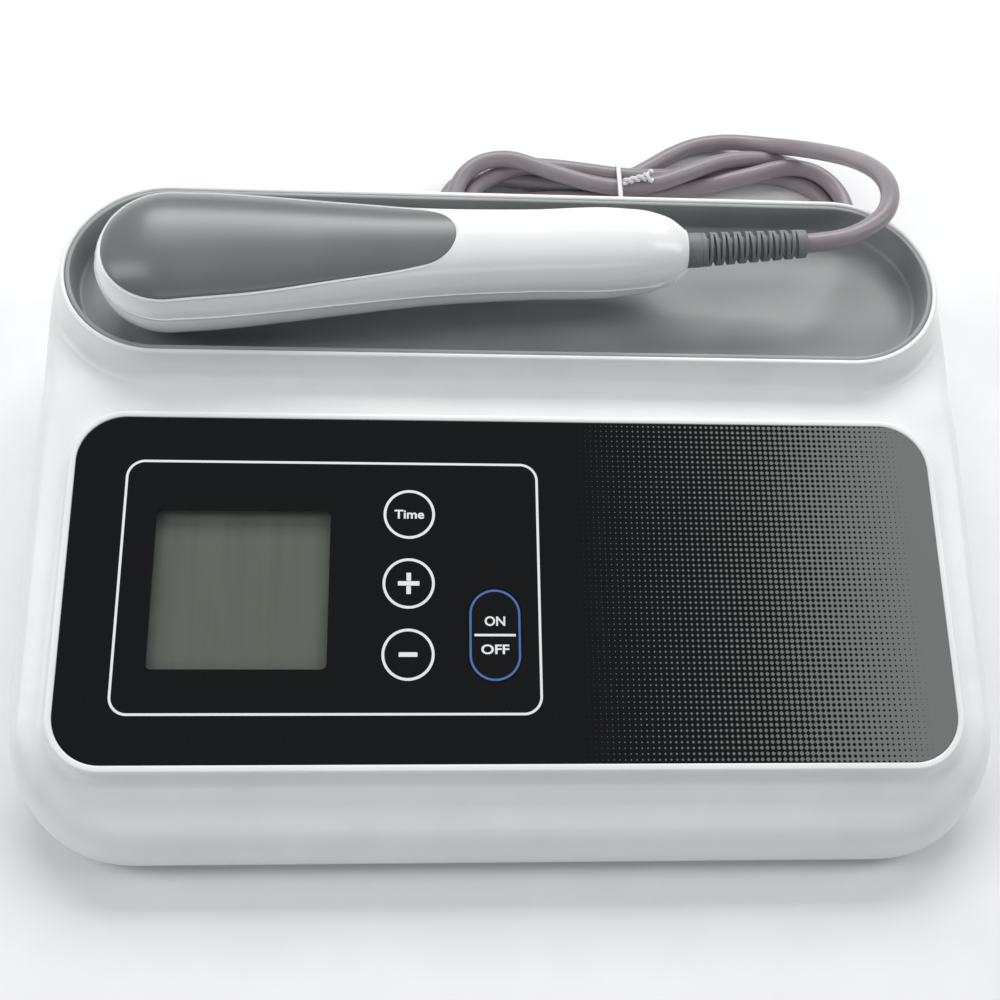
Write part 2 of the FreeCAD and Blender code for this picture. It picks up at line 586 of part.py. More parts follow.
def make_handset_shells():
    outer, inner = handset_block(0), handset_block(HANDSET_WALL)
    ledge, cover_in = handset_block(COVER_T + 0.06), handset_block(COVER_T)
    wall = outer.cut(inner)
    above = box((-60, 220), (-60, 60), (PART_Z + 0.03, 100))
    below = box((-60, 220), (-60, 60), (0, PART_Z - 0.03))
    pocket = raised(cover_outline(0.1, PART_Z + 1), 40).cut(ledge)
    cover = raised(cover_outline(0, PART_Z + 1), 40).common(outer).cut(cover_in)
    upper = wall.common(above).cut(pocket)
    lower = wall.common(below)
    land = rod(FACE_R + 1.2, 0, 0, (HEAD_MID_Z - HEAD_DOWN - 0.05, HEAD_MID_Z - HEAD_DOWN + 3.2))
    lower = lower.fuse(land)
    bosses_low = [rod(3.4, s, 0, (z - 0.5, PART_Z - 0.03)) for s, z in HANDSET_SCREWS]
    bosses_up = [rod(3.2, s, 0, (PART_Z + 0.03, 69.2)) for s, z in HANDSET_SCREWS]
    lower = lower.multiFuse(bosses_low)
    upper = upper.multiFuse(bosses_up)
    lower = lower.cut([rod(CUP_R + 0.1, 0, 0, (30, 60)),
                       rod(14.4, 0, 0, (30, HEAD_MID_Z - HEAD_DOWN + 0.95))]
                      + [rod(1.3, s, 0, (30, 70)) for s, z in HANDSET_SCREWS]
                      + [rod(2.4, s, 0, (30, z + 2.0)) for s, z in HANDSET_SCREWS])
    upper = upper.cut([rod(1.2, s, 0, (50, 66)) for s, z in HANDSET_SCREWS])
    neck = along_relief(Part.makeCylinder(4.5, 12, Vector(-6, 0, 0), Vector(1, 0, 0)))
    return (in_handset(upper).cut(neck).removeSplitter(),
            in_handset(lower).cut(neck).removeSplitter(), in_handset(cover))


def make_treatment_head():
    """Metal cup: thick face, thin wall, open towards the handle."""
    seat = HEAD_MID_Z - HEAD_DOWN
    head = rod(FACE_R, 0, 0, (FACE_Z, seat - 0.1)).fuse(rod(CUP_R, 0, 0, (seat - 0.2, seat + 9)))
    head = head.cut(rod(CUP_R - 1.2, 0, 0, (seat - 0.6, seat + 12))).removeSplitter()
    rim = [e for e in head.Edges if abs(e.CenterOfMass.z - FACE_Z) < 0.01]
    head = head.makeFillet(0.8, rim)
    seal = rod(14.3, 0, 0, (seat - 0.08, seat + 0.9)).cut(rod(CUP_R + 0.1, 0, 0, (30, 60)))
    piezo = rod(CUP_R - 1.4, 0, 0, (seat - 0.55, seat + 1.5))
    backing = rod(CUP_R - 1.4, 0, 0, (seat + 1.6, seat + 6.0))
    return [in_handset(part) for part in (head, seal, piezo, backing)]


def make_handset_insides():
    board = box((28.0, 84.0), (-7.0, 7.0), (54.0, 55.2))
    chips = box((40.0, 52.0), (-4.0, 4.0), (55.2, 57.0))
    lead = tube([(8, 3, 52), (16, 3.5, 53.5), (22, 2, 55.5), (28, 0, 57.2), (36, -0.8, 58.4)], 1.4)
    screws = [screw(s, 0, z - 0.1, 65.0, 1.1, 2.2, 2.0) for s, z in HANDSET_SCREWS]
    return (in_handset(board.fuse(chips).removeSplitter()), in_handset(lead),
            [in_handset(s) for s in screws])


def along_relief(shape):
    """Moves a shape drawn along +X from the tail to the tilted strain relief."""
    moved = shape.copy()
    moved.rotate(Vector(0, 0, 0), Vector(0, 1, 0), -RELIEF_PITCH)
    moved.translate(Vector(TAIL_S, 0, TAIL_Z))
    return in_handset(moved)


def make_strain_relief():
    """Tapered rubber sleeve with staggered cross slots and a plain collar."""
    x_dir = Vector(1, 0, 0)
    collar_r, collar_len, root_len = 5.4, 4.6, 6.0
    ring_r, ring_step, ring_len, ring_count, ring_start, ring_pitch = 5.3, 0.11, 2.1, 8, 6.4, 3.65
    tip_r, tip_len, bridge_w, bridge_h = 4.3, 2.6, 1.8, 8.4
    core = Part.makeCone(3.6, 3.3, RELIEF_LEN, Vector(0, 0, 0), x_dir)
    collar = Part.makeCylinder(collar_r, collar_len, Vector(0.6, 0, 0), x_dir)
    root = Part.makeCylinder(collar_r - 1, root_len, Vector(1.2 - root_len, 0, 0), x_dir)
    tip = Part.makeCylinder(tip_r, tip_len, Vector(RELIEF_LEN - tip_len, 0, 0), x_dir)
    rings = [Part.makeCylinder(ring_r - ring_step * k, ring_len,
                               Vector(ring_start + k * ring_pitch, 0, 0), x_dir)
             for k in range(ring_count)]
    bridge = Part.makeBox(RELIEF_LEN - 4, bridge_w, bridge_h, Vector(2, -bridge_w / 2, -bridge_h / 2))
    return along_relief(core.multiFuse([collar, root, tip, bridge] + rings).removeSplitter())


# ------------------------------------------------------------------- cord

def relief_end():
    a, p = math.radians(HANDSET_YAW), math.radians(RELIEF_PITCH)
    s = TAIL_S + RELIEF_LEN * math.cos(p)
    return (HEAD_X + s * math.cos(a), HEAD_Y + s * math.sin(a), TAIL_Z + RELIEF_LEN * math.sin(p))


def relief_direction():
    yaw, pitch = math.radians(HANDSET_YAW), math.radians(RELIEF_PITCH)
    return Vector(math.cos(pitch) * math.cos(yaw), math.cos(pitch) * math.sin(yaw), math.sin(pitch))


CORD_GAP = 0.05           # between a cord's end and what it comes out of
LEAD_ROUTE = [(110.8, 79.2, 63.5), (120.0, 86.8, 63.2), (126.0, 97.8, 60.6), (128.0, 110.3, 54.8),
              (127.3, 122.7, 46.3), (125.0, 134.9, 36.2), (120.8, 146.2, 25.6), (114.0, 156.6, 15.8),
              (103.8, 165.2, 7.6), (91.2, 169.6, 4.1), (78.5, 168.2, 3.5), (68.0, 162.8, 3.6)]
HANK_ENTRY = Vector(59.6, 156.6, 3.6)     # where the lead goes into the hank
HOME_ROUTE = [(GLAND_X, 117.0, GLAND_Z), (-60.2, 123.3, 13.7), (-56.5, 128.7, 12.2),
              (-51.2, 132.7, 10.1), (-44.9, 134.7, 7.6), (-36.6, 134.4, 5.2), (-29.0, 134.1, 4.0)]
HANK_EXIT = Vector(HANK_X[0], 134.1, 4.0)     # where it comes out towards the case


def make_cord():
    ahead = relief_direction()
    begin = Vector(*relief_end()) + ahead * CORD_GAP
    first = begin + ahead * 8.0
    into_hank = HANK_ENTRY - Vector(*LEAD_ROUTE[-1])
    into_hank.normalize()
    lead = tube([begin, first] + LEAD_ROUTE + [HANK_ENTRY - into_hank * CORD_GAP], CORD_D,
                "lead from handset")
    home = tube([(GLAND_X, GLAND_OUT_Y + CORD_GAP, GLAND_Z)] + HOME_ROUTE
                + [HANK_EXIT - Vector(CORD_GAP, 0, 0)], CORD_D, "lead to case")
    return lead, home


def make_hank():
    half_y = (HANK_Y[1] - HANK_Y[0]) / 2
    outline = rounded_outline(HANK_X, HANK_Y, 0.3, half_y - 1e-3)
    solid = raised(outline, HANK_TOP - 0.3)
    end_pad = box((HANK_X[0], HANK_X[0] + 14), (HANK_EXIT.y - 5, HANK_EXIT.y + 5), (0.3, 9.0))
    heading = HANK_ENTRY - Vector(*LEAD_ROUTE[-1])
    rear_pad = box((0, 16), (-4.5, 4.5), (0.3, 10.0))
    rear_pad.rotate(Vector(0, 0, 0), Z, math.degrees(math.atan2(heading.y, heading.x)))
    rear_pad.translate(Vector(HANK_ENTRY.x, HANK_ENTRY.y, 0))
    top = [e for e in solid.Edges if abs(e.BoundBox.ZMin - HANK_TOP) < 0.01]
    return solid.makeFillet(4.0, top).multiFuse([end_pad, rear_pad]).removeSplitter()


def make_tie():
    """Twist tie round the middle of the hank."""
    wire, gap = 0.75, 0.8
    x, y, z = (41.5, 44.5), (HANK_Y[0] - gap, HANK_Y[1] + gap), (0.05, HANK_TOP + gap)
    inside = box((x[0] - 1, x[1] + 1), (y[0] + wire, y[1] - wire), (z[0] + 0.2, z[1] - wire))
    return box(x, y, z).cut(inside)


def main():
    save("top_shell", make_top_shell())
    save("base_shell", make_base_shell())
    save("tray_liner", make_tray_liner())
    save("panel_overlay", make_overlay())
    for name in KEY_NAMES:
        save(name, make_key(name))
    lens, glass, frame = make_display()
    save("display_lens", lens)
    save("display_glass", glass)
    save("display_frame", frame)
    board, switches, board_screws = make_display_board()
    save("display_board", board)
    save("key_switches", *switches)
    save("display_board_screws", *board_screws)
    save("main_board", make_main_board())
    core, winding = make_transformer()
    save("drive_transformer_core", core)
    save("drive_transformer_winding", winding)
    sink, devices = make_heat_sink()
    save("heat_sink", sink)
    save("output_transistors", *devices)
    save("capacitors", *make_capacitors())
    save("buzzer", make_buzzer())
    save("terminal_block", make_terminal_block())
    save("power_inlet", make_jack())
    save("cord_gland", make_gland())
    save("ribbon_cable", make_ribbon())
    save("inlet_leads", *make_inlet_leads())
    save("cord_leads", make_cord_leads())
    save("case_screws", *[screw(x, y, 3.0, 20.0, 1.5, 2.9, 2.0) for x, y, top in CASE_SCREWS])
    save("board_screws", *[board_screw(x, y) for x, y in PCB_POSTS])
    save("rubber_feet", *[rod(7.5, x, y, (0, FOOT_H + 0.78)) for x, y in FEET])
    upper, lower, cover = make_handset_shells()
    save("handset_upper_shell", upper)
    save("handset_lower_shell", lower)
    save("handset_cover", cover)
    head, seal, piezo, backing = make_treatment_head()
    save("treatment_head", head)
    save("head_seal", seal)
    save("piezo_disc", piezo)
    save("damping_backing", backing)
    handset_board, lead, handset_screws = make_handset_insides()
    save("handset_board", handset_board)
    save("piezo_lead", lead)
    save("handset_screws", *handset_screws)
    save("strain_relief", make_strain_relief())
    save("handset_cord", *make_cord())
    save("cord_hank", make_hank())
    save("cord_tie", make_tie())


main()
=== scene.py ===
import math

import bmesh
import bpy
import numpy as np
from mathutils import Matrix, Vector
from mathutils.geometry import delaunay_2d_cdt


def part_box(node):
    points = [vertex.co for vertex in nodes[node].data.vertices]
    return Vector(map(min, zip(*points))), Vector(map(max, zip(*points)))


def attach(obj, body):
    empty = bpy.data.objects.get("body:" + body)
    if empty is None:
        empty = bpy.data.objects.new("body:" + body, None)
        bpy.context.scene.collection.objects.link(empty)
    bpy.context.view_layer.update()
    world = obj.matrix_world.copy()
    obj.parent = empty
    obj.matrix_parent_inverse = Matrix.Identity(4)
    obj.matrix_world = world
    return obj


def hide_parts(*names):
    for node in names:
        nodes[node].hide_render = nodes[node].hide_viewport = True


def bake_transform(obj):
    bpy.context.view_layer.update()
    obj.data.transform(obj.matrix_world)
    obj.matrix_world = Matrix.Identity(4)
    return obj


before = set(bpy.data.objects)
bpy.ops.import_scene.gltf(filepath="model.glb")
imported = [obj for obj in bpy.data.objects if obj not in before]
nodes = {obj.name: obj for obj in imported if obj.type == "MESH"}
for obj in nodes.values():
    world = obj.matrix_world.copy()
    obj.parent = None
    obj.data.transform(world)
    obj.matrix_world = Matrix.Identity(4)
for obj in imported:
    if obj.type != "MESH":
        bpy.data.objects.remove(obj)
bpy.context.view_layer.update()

mm = 0.001      # shapes are worked out in millimetres and handed over in metres
scene = bpy.context.scene


def hexToLinear(code):
    # sRGB hex to linear: each channel is c/12.92 when dark, else ((c+0.055)/1.055)^2.4.
    c = np.array([int(code[i:i + 2], 16) for i in (1, 3, 5)]) / 255
    return tuple(np.where(c < 0.04045, c / 12.92, ((c + 0.055) / 1.055) ** 2.4)) + (1.0,)


def gridFaces(rows, cols, loopRows=False, loopCols=False):
    # Quads between neighbouring rows and columns of a grid, wrapped round where asked.
    r = np.arange(rows if loopRows else rows - 1)[:, None]
    c = np.arange(cols if loopCols else cols - 1)[None, :]
    r2, c2 = (r + 1) % rows, (c + 1) % cols
    return np.stack([r * cols + c, r * cols + c2, r2 * cols + c2, r2 * cols + c], -1).reshape(-1, 4)


def meshFrom(name, parts, weld=0.004, smooth=True):
    # One mesh from (points in mm, faces) pairs, welded where they meet, normals outwards.
    points, faces, at = [], [], 0
    for pts, fcs in parts:
        pts = np.asarray(pts, float).reshape(-1, 3)
        points.append(pts)
        faces += [[int(i) + at for i in f] for f in fcs]
        at += len(pts)
    mesh = bpy.data.meshes.new(name)
    mesh.from_pydata((np.concatenate(points) * mm).tolist(), [], faces)
    bm = bmesh.new()
    bm.from_mesh(mesh)
    bmesh.ops.remove_doubles(bm, verts=bm.verts, dist=weld * mm)
    bmesh.ops.dissolve_degenerate(bm, edges=bm.edges, dist=1e-7)
    bmesh.ops.recalc_face_normals(bm, faces=bm.faces)
    bm.to_mesh(mesh)
    bm.free()
    mesh.polygons.foreach_set("use_smooth", [smooth] * len(mesh.polygons))
    return mesh


def addPiece(name, mesh, material, body="root", replaced=()):
    piece = bpy.data.objects.new(name, mesh)
    scene.collection.objects.link(piece)
    if material:
        mesh.materials.clear()
        mesh.materials.append(material)
    if body:
        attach(piece, body)
    if replaced:
        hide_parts(*replaced)
    return piece


def smoothStep(t):
    t = np.clip(t, 0, 1)
    return t * t * (3 - 2 * t)


def through(x, knots, values):
    # Smooth curve through the knots: cubic pieces with slopes from the neighbours.
    knots, values = np.asarray(knots, float), np.asarray(values, float)
    slope = np.gradient(values, knots)
    i = np.clip(np.searchsorted(knots, x) - 1, 0, len(knots) - 2)
    h = knots[i + 1] - knots[i]
    t = np.clip((x - knots[i]) / h, 0, 1)
    return ((2 * t ** 3 - 3 * t ** 2 + 1) * values[i] + (t ** 3 - 2 * t ** 2 + t) * h * slope[i]
            + (3 * t ** 2 - 2 * t ** 3) * values[i + 1] + (t ** 3 - t ** 2) * h * slope[i + 1])


def roundedRing(halfU, halfV, radius, sideU, sideV, corner, rearRadius=None):
    # Core points and outward directions round a rounded rectangle, anticlockwise from the
    # middle of the right side: an offset ring is core + (radius + grow) * direction.
    rear = radius if rearRadius is None else rearRadius
    cores, dirs, radii = [], [], []
    for cx, cy, r, start in ((1, 1, rear, 0), (-1, 1, rear, 90), (-1, -1, radius, 180), (1, -1, radius, 270)):
        a = np.radians(start + np.linspace(0, 90, corner + 1))
        c = np.array([cx * (halfU - r), cy * (halfV - r)])
        cores.append(np.tile(c, (corner + 1, 1)))
        dirs.append(np.stack([np.cos(a), np.sin(a)], 1))
        radii.append(np.full(corner + 1, r))
    order, counts = [], {0: sideU, 1: sideV, 2: sideU, 3: sideV}
    for k in range(4):
        order.append((cores[k], dirs[k], radii[k]))
        nxt = (k + 1) % 4
        n = counts[k]
        t = np.linspace(0, 1, n + 1)[1:-1, None]
        order.append((cores[k][-1] + (cores[nxt][0] - cores[k][-1]) * t,
                      np.tile(dirs[k][-1], (n - 1, 1)), np.full(n - 1, radii[k][0])
                      + (radii[nxt][0] - radii[k][0]) * t[:, 0]))
    core, out, rad = (np.concatenate([o[i] for o in order]) for i in range(3))
    return core, out, rad


def endFans(rows, sides):
    # Closes a grid's two ends: fans to the two points that follow the grid's own.
    n, last = rows * sides, (rows - 1) * sides
    return ([[n, (k + 1) % sides, k] for k in range(sides)]
            + [[n + 1, last + k, last + (k + 1) % sides] for k in range(sides)])


def tubeAlong(line, radius, sides=16):
    # Round tube: a circle carried along the line on axes turned as little as possible.
    line = np.asarray(line, float)
    tangent = np.gradient(line, axis=0)
    tangent /= np.linalg.norm(tangent, axis=1)[:, None]
    side = np.zeros_like(line)
    side[0] = np.cross(tangent[0], [0, 0, 1]) if abs(tangent[0][2]) < 0.9 else [1, 0, 0]
    for i in range(1, len(line)):      # each frame follows from the one before it
        side[i] = side[i - 1] - tangent[i] * (side[i - 1] @ tangent[i])
        side[i] /= np.linalg.norm(side[i])
    side[0] /= np.linalg.norm(side[0])
    other = np.cross(tangent, side)
    a = np.linspace(0, 2 * np.pi, sides, endpoint=False)
    r = np.broadcast_to(np.asarray(radius, float).reshape(-1, 1, 1), (len(line), 1, 1))
    ring = line[:, None] + r * (np.cos(a)[:, None] * side[:, None] + np.sin(a)[:, None] * other[:, None])
    points = np.concatenate([ring.reshape(-1, 3), line[:1], line[-1:]])
    faces = [list(f) for f in gridFaces(len(line), sides, loopCols=True)]
    return points, faces + endFans(len(line), sides)


view = {"at": (-0.03048, -0.18441, 0.39125), "along": (0.0685, 0.4554, -0.8877),
        "right": (0.9976, -0.0229, 0.0653), "lens": 48.156, "sensor": 36.0}


def makeCamera():
    data = bpy.data.cameras.new("camera")
    data.lens, data.sensor_width = view["lens"], view["sensor"]
    data.clip_start, data.clip_end = 0.01, 20
    camera = bpy.data.objects.new("camera", data)
    back = -Vector(view["along"]).normalized()
    right = Vector(view["right"])
    right = (right - back * right.dot(back)).normalized()
    camera.matrix_world = Matrix.Translation(view["at"]) @ Matrix(
        (right, back.cross(right), back)).transposed().to_4x4()
    scene.collection.objects.link(camera)
    scene.camera = camera


makeCamera()
print("camera in place")


def addNode(tree, kind, links=(), **settings):
    # Adds a node, sets its sockets and properties, and links (socket, source) pairs.
    node = tree.nodes.new(kind)
    for key, value in settings.items():
        if key.startswith("in_"):
            node.inputs[int(key[3:])].default_value = value
        else:
            setattr(node, key, value)
    for socket, source in links:
        tree.links.new(source, node.inputs[socket])
    return node


def newMaterial(name, colour, rough, **shader):
    material = bpy.data.materials.new(name)
    material.use_nodes = True
    tree = material.node_tree
    surface = tree.nodes["Principled BSDF"]
    surface.inputs["Base Color"].default_value = hexToLinear(colour)
    surface.inputs["Roughness"].default_value = rough
    for key, value in shader.items():
        surface.inputs[key.replace("_", " ")].default_value = value
    return material, tree, surface


def grain(tree, surface, scaleMm, depthMm, colour=None, colour2=None, detail=3.0, swing=None):
    # Fine noise on object coordinates: bump of a real height, and a slight shift of tone.
    place = addNode(tree, "ShaderNodeTexCoord")
    noise = addNode(tree, "ShaderNodeTexNoise", [("Vector", place.outputs["Object"])])
    noise.inputs["Scale"].default_value = 1 / (scaleMm * mm)
    noise.inputs["Detail"].default_value = detail
    bump = addNode(tree, "ShaderNodeBump", [("Height", noise.outputs["Fac"])])
    bump.inputs["Distance"].default_value = depthMm * mm
    tree.links.new(bump.outputs["Normal"], surface.inputs["Normal"])
    if colour:
        broad = addNode(tree, "ShaderNodeTexNoise", [("Vector", place.outputs["Object"])])
        broad.inputs["Scale"].default_value = 1 / (22 * mm)
        ramp = addNode(tree, "ShaderNodeValToRGB", [("Fac", broad.outputs["Fac"])])
        ramp.color_ramp.elements[0].position, ramp.color_ramp.elements[1].position = 0.35, 0.65
        ramp.color_ramp.elements[0].color = hexToLinear(colour)
        ramp.color_ramp.elements[1].color = hexToLinear(colour2)
        tree.links.new(ramp.outputs["Color"], surface.inputs["Base Color"])
    if swing:
        spread = addNode(tree, "ShaderNodeMapRange", [("Value", noise.outputs["Fac"])])
        spread.inputs["To Min"].default_value, spread.inputs["To Max"].default_value = swing
        tree.links.new(spread.outputs["Result"], surface.inputs["Roughness"])
    return place


def plastic(name, a, b, rough, scaleMm, depthMm, ior=1.5, **shader):
    material, tree, surface = newMaterial(name, a, rough, IOR=ior, **shader)
    grain(tree, surface, scaleMm, depthMm, a, b, swing=(rough * 0.85, rough * 1.15))
    return material


# moulded ABS, lightly spark-textured case: soft satin highlight, faint unevenness
whiteAbs = plastic("whiteAbsMoulded", "#f4f5f5", "#eff1f1", 0.34, 0.5, 0.004, 1.54)
# polished-tool ABS handle: clean glossy white with wide soft reflections
whiteGloss = plastic("whiteAbsPolished", "#f6f6f6", "#f2f3f3", 0.2, 1.6, 0.002, 1.54)
# matt-textured ABS tray lining: grey, breaks up highlights
greyLiner = plastic("greyAbsTextured", "#979b9a", "#8f9392", 0.42, 0.45, 0.012, 1.54)
# satin ABS cover on the handset: grey, smooth, one soft highlight
greySatin = plastic("greyAbsSatin", "#767979", "#717474", 0.3, 0.7, 0.003, 1.54)
# thermoplastic rubber sleeve: duller than the hard plastics
greyRubber = plastic("greyTpeRubber", "#7e8080", "#767878", 0.52, 0.3, 0.01, 1.5)
# soft PVC cable sheath: warm grey with a slight lilac cast and a plastic shine
cordPvc = plastic("cordPvcSheath", "#968e92", "#8d8589", 0.38, 0.6, 0.006, 1.53)
blackNylon = plastic("blackNylonMoulded", "#1b1c1d", "#161718", 0.45, 0.4, 0.006, 1.53)
circuitBoard = plastic("solderMaskGreen", "#1f4a33", "#1b422d", 0.4, 2.0, 0.01)
ferriteMat = plastic("ferriteFired", "#3a3a3d", "#303033", 0.6, 0.5, 0.02)
footRubber = plastic("footRubber", "#2b2b2c", "#242425", 0.7, 0.3, 0.01)
ribbonGrey = plastic("ribbonPvc", "#a3a5a6", "#9a9c9d", 0.5, 0.7, 0.01)
redPvc = plastic("redPvc", "#a32a24", "#95241f", 0.4, 0.7, 0.004)
whitePvc = plastic("whitePvc", "#eceaea", "#e6e4e4", 0.42, 0.7, 0.004)
sleeveMat = plastic("capacitorSleeve", "#22314f", "#1c2944", 0.35, 0.8, 0.003)
terminalGreen = plastic("terminalGreen", "#3d8a55", "#387f4e", 0.42, 0.5, 0.004)
ceramicMat = plastic("piezoCeramic", "#cfc6b4", "#c6bdab", 0.5, 0.3, 0.004)


def metal(name, colour, rough, scaleMm, depthMm):
    material, tree, surface = newMaterial(name, colour, rough, Metallic=1.0)
    grain(tree, surface, scaleMm, depthMm, swing=(rough * 0.8, rough * 1.25))
    return material


zincSteel = metal("zincPlatedSteel", "#b9bcc0", 0.3, 0.4, 0.006)
polishedMetal = metal("polishedAluminium", "#d9dbdd", 0.16, 0.25, 0.002)
copperMat = metal("enamelledCopper", "#b4663a", 0.35, 0.4, 0.02)
blackAluminium = metal("blackAnodisedAluminium", "#303234", 0.4, 0.3, 0.006)


cordFacts = {
    "diameter": 6.0,
    "reliefEnd": (92.6, 75.4, 62.5), "reliefWay": (0.996, 0.040, 0.0785),
    "lead": [(110.8, 79.2, 63.5), (120.0, 86.8, 63.2), (124.6, 97.6, 60.6), (126.0, 110.0, 54.8),
             (125.2, 122.4, 46.3), (123.0, 134.6, 36.2), (119.6, 146.0, 25.6), (114.0, 156.6, 15.8),
             (103.8, 165.2, 7.6), (91.2, 169.6, 4.1), (78.5, 168.2, 3.5), (68.0, 162.8, 3.6),
             (59.6, 156.6, 3.6)],
    "home": [(-21.0, 134.1, 4.0), (-29.0, 134.1, 4.0), (-36.6, 134.4, 5.2), (-44.9, 134.7, 7.6),
             (-51.2, 132.7, 10.1), (-56.5, 128.7, 12.2), (-60.2, 123.3, 13.7), (-62.0, 117.0, 14.5),
             (-62.0, 112.1, 14.5)],
    "tieX": 46.0, "tieAt": (143.0, 6.0),
    # each turn: x of its left and right ends, then y of its rear and front runs at the left
    # and y of its rear and front runs at the right
    "turns": [(-20.0, 134.5, 150.0, 106.5, 160.0, 110.5), (-12.0, 128.5, 153.0, 107.0, 158.0, 112.0),
              (-17.0, 132.0, 152.0, 106.5, 157.0, 111.0)],
    "lastRun": (0.0, 0.0, 137.0, 107.0, 153.0, 111.0),
    "step": 12.0, "pinch": 0.22, "rearPinch": 0.55, "pinchWidth": 38.0, "sideWidth": 45.0,
    "bed": 3.2, "rise": 3.6, "hump": 6.8, "humpX": -18.0, "humpWidth": 15.0,
    # settling: rounds, weight a round, pull to the laid place, smoothing in plan and in height
    "settling": 260, "weight": 0.08, "hold": 0.02, "smooth": (0.02, 0.02, 0.3),
    "clear": 0.35, "push": 0.45,
}


def hankRoute():
    # Each turn is a rear run, a half round, a front run and a half round. Runs are drawn in
    # near the tie by a bell curve, and left ends rise in a hump over the run back to the case.
    facts = cordFacts
    tie, lead, home = facts["tieX"], np.array(facts["lead"]), np.array(facts["home"])
    turns, step = facts["turns"], facts["step"]
    points = []      # x, side (1 rear to -1 front), which turn, height in turns
    for k, (left, right, rearL, frontL, rearR, frontR) in enumerate(turns):
        _, nextRight, _, _, nextRearR, nextFrontR = turns[min(k + 1, len(turns) - 1)]
        endL, endR = (rearL - frontL) / 2, (nextRearR - nextFrontR) / 2
        # rear run leftwards, left end, front run rightwards, right end
        begin = tie + 4 if k == 0 else right - (rearR - frontR) / 2 - step
        for x in np.arange(begin, left + endL + step / 2, -step):
            points.append((x, 1.0, k, k))
        for a in np.radians((90, 120, 150, 180, 210, 240, 270)):
            points.append((left + endL + endL * math.cos(a), math.sin(a), k, k))
        for x in np.arange(left + endL + step, nextRight - endR - step / 2, step):
            points.append((x, -1.0, k, k + 0.5))
        for a in np.radians((270, 300, 330, 0, 30, 60, 90)):
            points.append((nextRight - endR + endR * math.cos(a), math.sin(a),
                           min(k + 1, len(turns) - 1), k + 0.6))
    for x in np.arange(nextRight - endR - step, 0, -step):
        points.append((x, 1.0, len(turns), 1.0))
    x, s, which, k = np.array(points).T
    held = np.array(turns + [facts["lastRun"]])[which.astype(int)]
    leftness = smoothStep((tie + facts["sideWidth"] - x) / (2 * facts["sideWidth"]))
    rear = held[:, 2] * leftness + held[:, 4] * (1 - leftness)
    front = held[:, 3] * leftness + held[:, 5] * (1 - leftness)
    y = (rear + front) / 2 + (rear - front) / 2 * s
    pinch = facts["pinch"] + facts["rearPinch"] * np.clip(s, 0, 1)
    pinch = pinch * np.exp(-((x - tie) / facts["pinchWidth"]) ** 2)
    y += pinch * (facts["tieAt"][0] - y)
    hump = np.where(which < len(turns), facts["hump"], 0)
    height = facts["bed"] + facts["rise"] * k + hump * np.exp(
        -((x - facts["humpX"]) / facts["humpWidth"]) ** 2)
    turnsPoints = np.stack([x, y, height], 1)
    route = np.concatenate([lead, turnsPoints, home])
    fixed = np.zeros(len(route), bool)
    fixed[:len(lead) - 1] = True
    fixed[-len(home) + 1:] = True
    return settle(route, fixed)


def settle(route, fixed):
    # Repeats small moves on the free points: smoothing along the cord, a soft pull to where
    # they were laid, weight, the tie's grip, and pushing apart wherever two stretches are
    # nearer than the cord is thick.
    facts = cordFacts
    thick = facts["diameter"] + facts["clear"]
    p, laid = route.copy(), route.copy()
    free = ~fixed
    idx = np.arange(len(p) * 3 - 2) / 3
    lo = np.floor(idx).astype(int).clip(0, len(p) - 2)
    part = (idx - lo)[:, None]
    apart = np.abs(idx[:, None] - idx[None, :]) < 3.4      # neighbours along the cord
    for _ in range(facts["settling"]):
        curve = np.zeros_like(p)
        curve[1:-1] = (p[:-2] + p[2:]) / 2 - p[1:-1]
        bend = np.zeros_like(p)
        bend[1:-1] = curve[1:-1] - (curve[:-2] + curve[2:]) / 2
        p[free] += facts["smooth"] * bend[free]
        p[free, :2] += facts["hold"] * (laid[free, :2] - p[free, :2])
        p[free, 2] -= facts["weight"]
        grip = facts["hold"] * np.exp(-((p[:, 0] - facts["tieX"]) / 8) ** 2)
        p[free, 1] += (grip * (facts["tieAt"][0] - p[:, 1]))[free]
        p[free, 2] += (grip * (facts["tieAt"][1] - p[:, 2]))[free]
        fine = p[lo] * (1 - part) + p[lo + 1] * part
        gap = fine[:, None] - fine[None, :]
        far = np.linalg.norm(gap, axis=2)
        near = (far < thick) & ~apart
        push = np.where(near, (thick - far) / np.maximum(far, 1e-6), 0)[..., None] * gap
        push = push.sum(1) * facts["push"]
        move = np.zeros_like(p)
        count = np.zeros(len(p))
        np.add.at(move, lo, push * (1 - part))
        np.add.at(move, lo + 1, push * part)
        np.add.at(count, lo, (1 - part[:, 0]))
        np.add.at(count, lo + 1, part[:, 0])
        p[free] += (move / np.maximum(count, 0.5)[:, None])[free] * 1.6
        p[free, 2] = np.maximum(p[free, 2], facts["diameter"] / 2 + 0.15)
    return p


def sampledSpline(route):
    # The route as a smooth spline, read back as the points along it.
    curve = bpy.data.curves.new("cordRoute", "CURVE")
    curve.dimensions, curve.resolution_u = "3D", 8
    spline = curve.splines.new("NURBS")
    spline.points.add(len(route) - 1)
    spline.points.foreach_set("co", np.concatenate(
        [route * mm, np.ones((len(route), 1))], 1).ravel())
    spline.order_u = 3
    spline.use_endpoint_u = True
    holder = bpy.data.objects.new("cordRoute", curve)
    mesh = bpy.data.meshes.new_from_object(holder)
    line = np.array([v.co for v in mesh.vertices]) / mm
    bpy.data.objects.remove(holder)
    bpy.data.curves.remove(curve)
    bpy.data.meshes.remove(mesh)
    return line


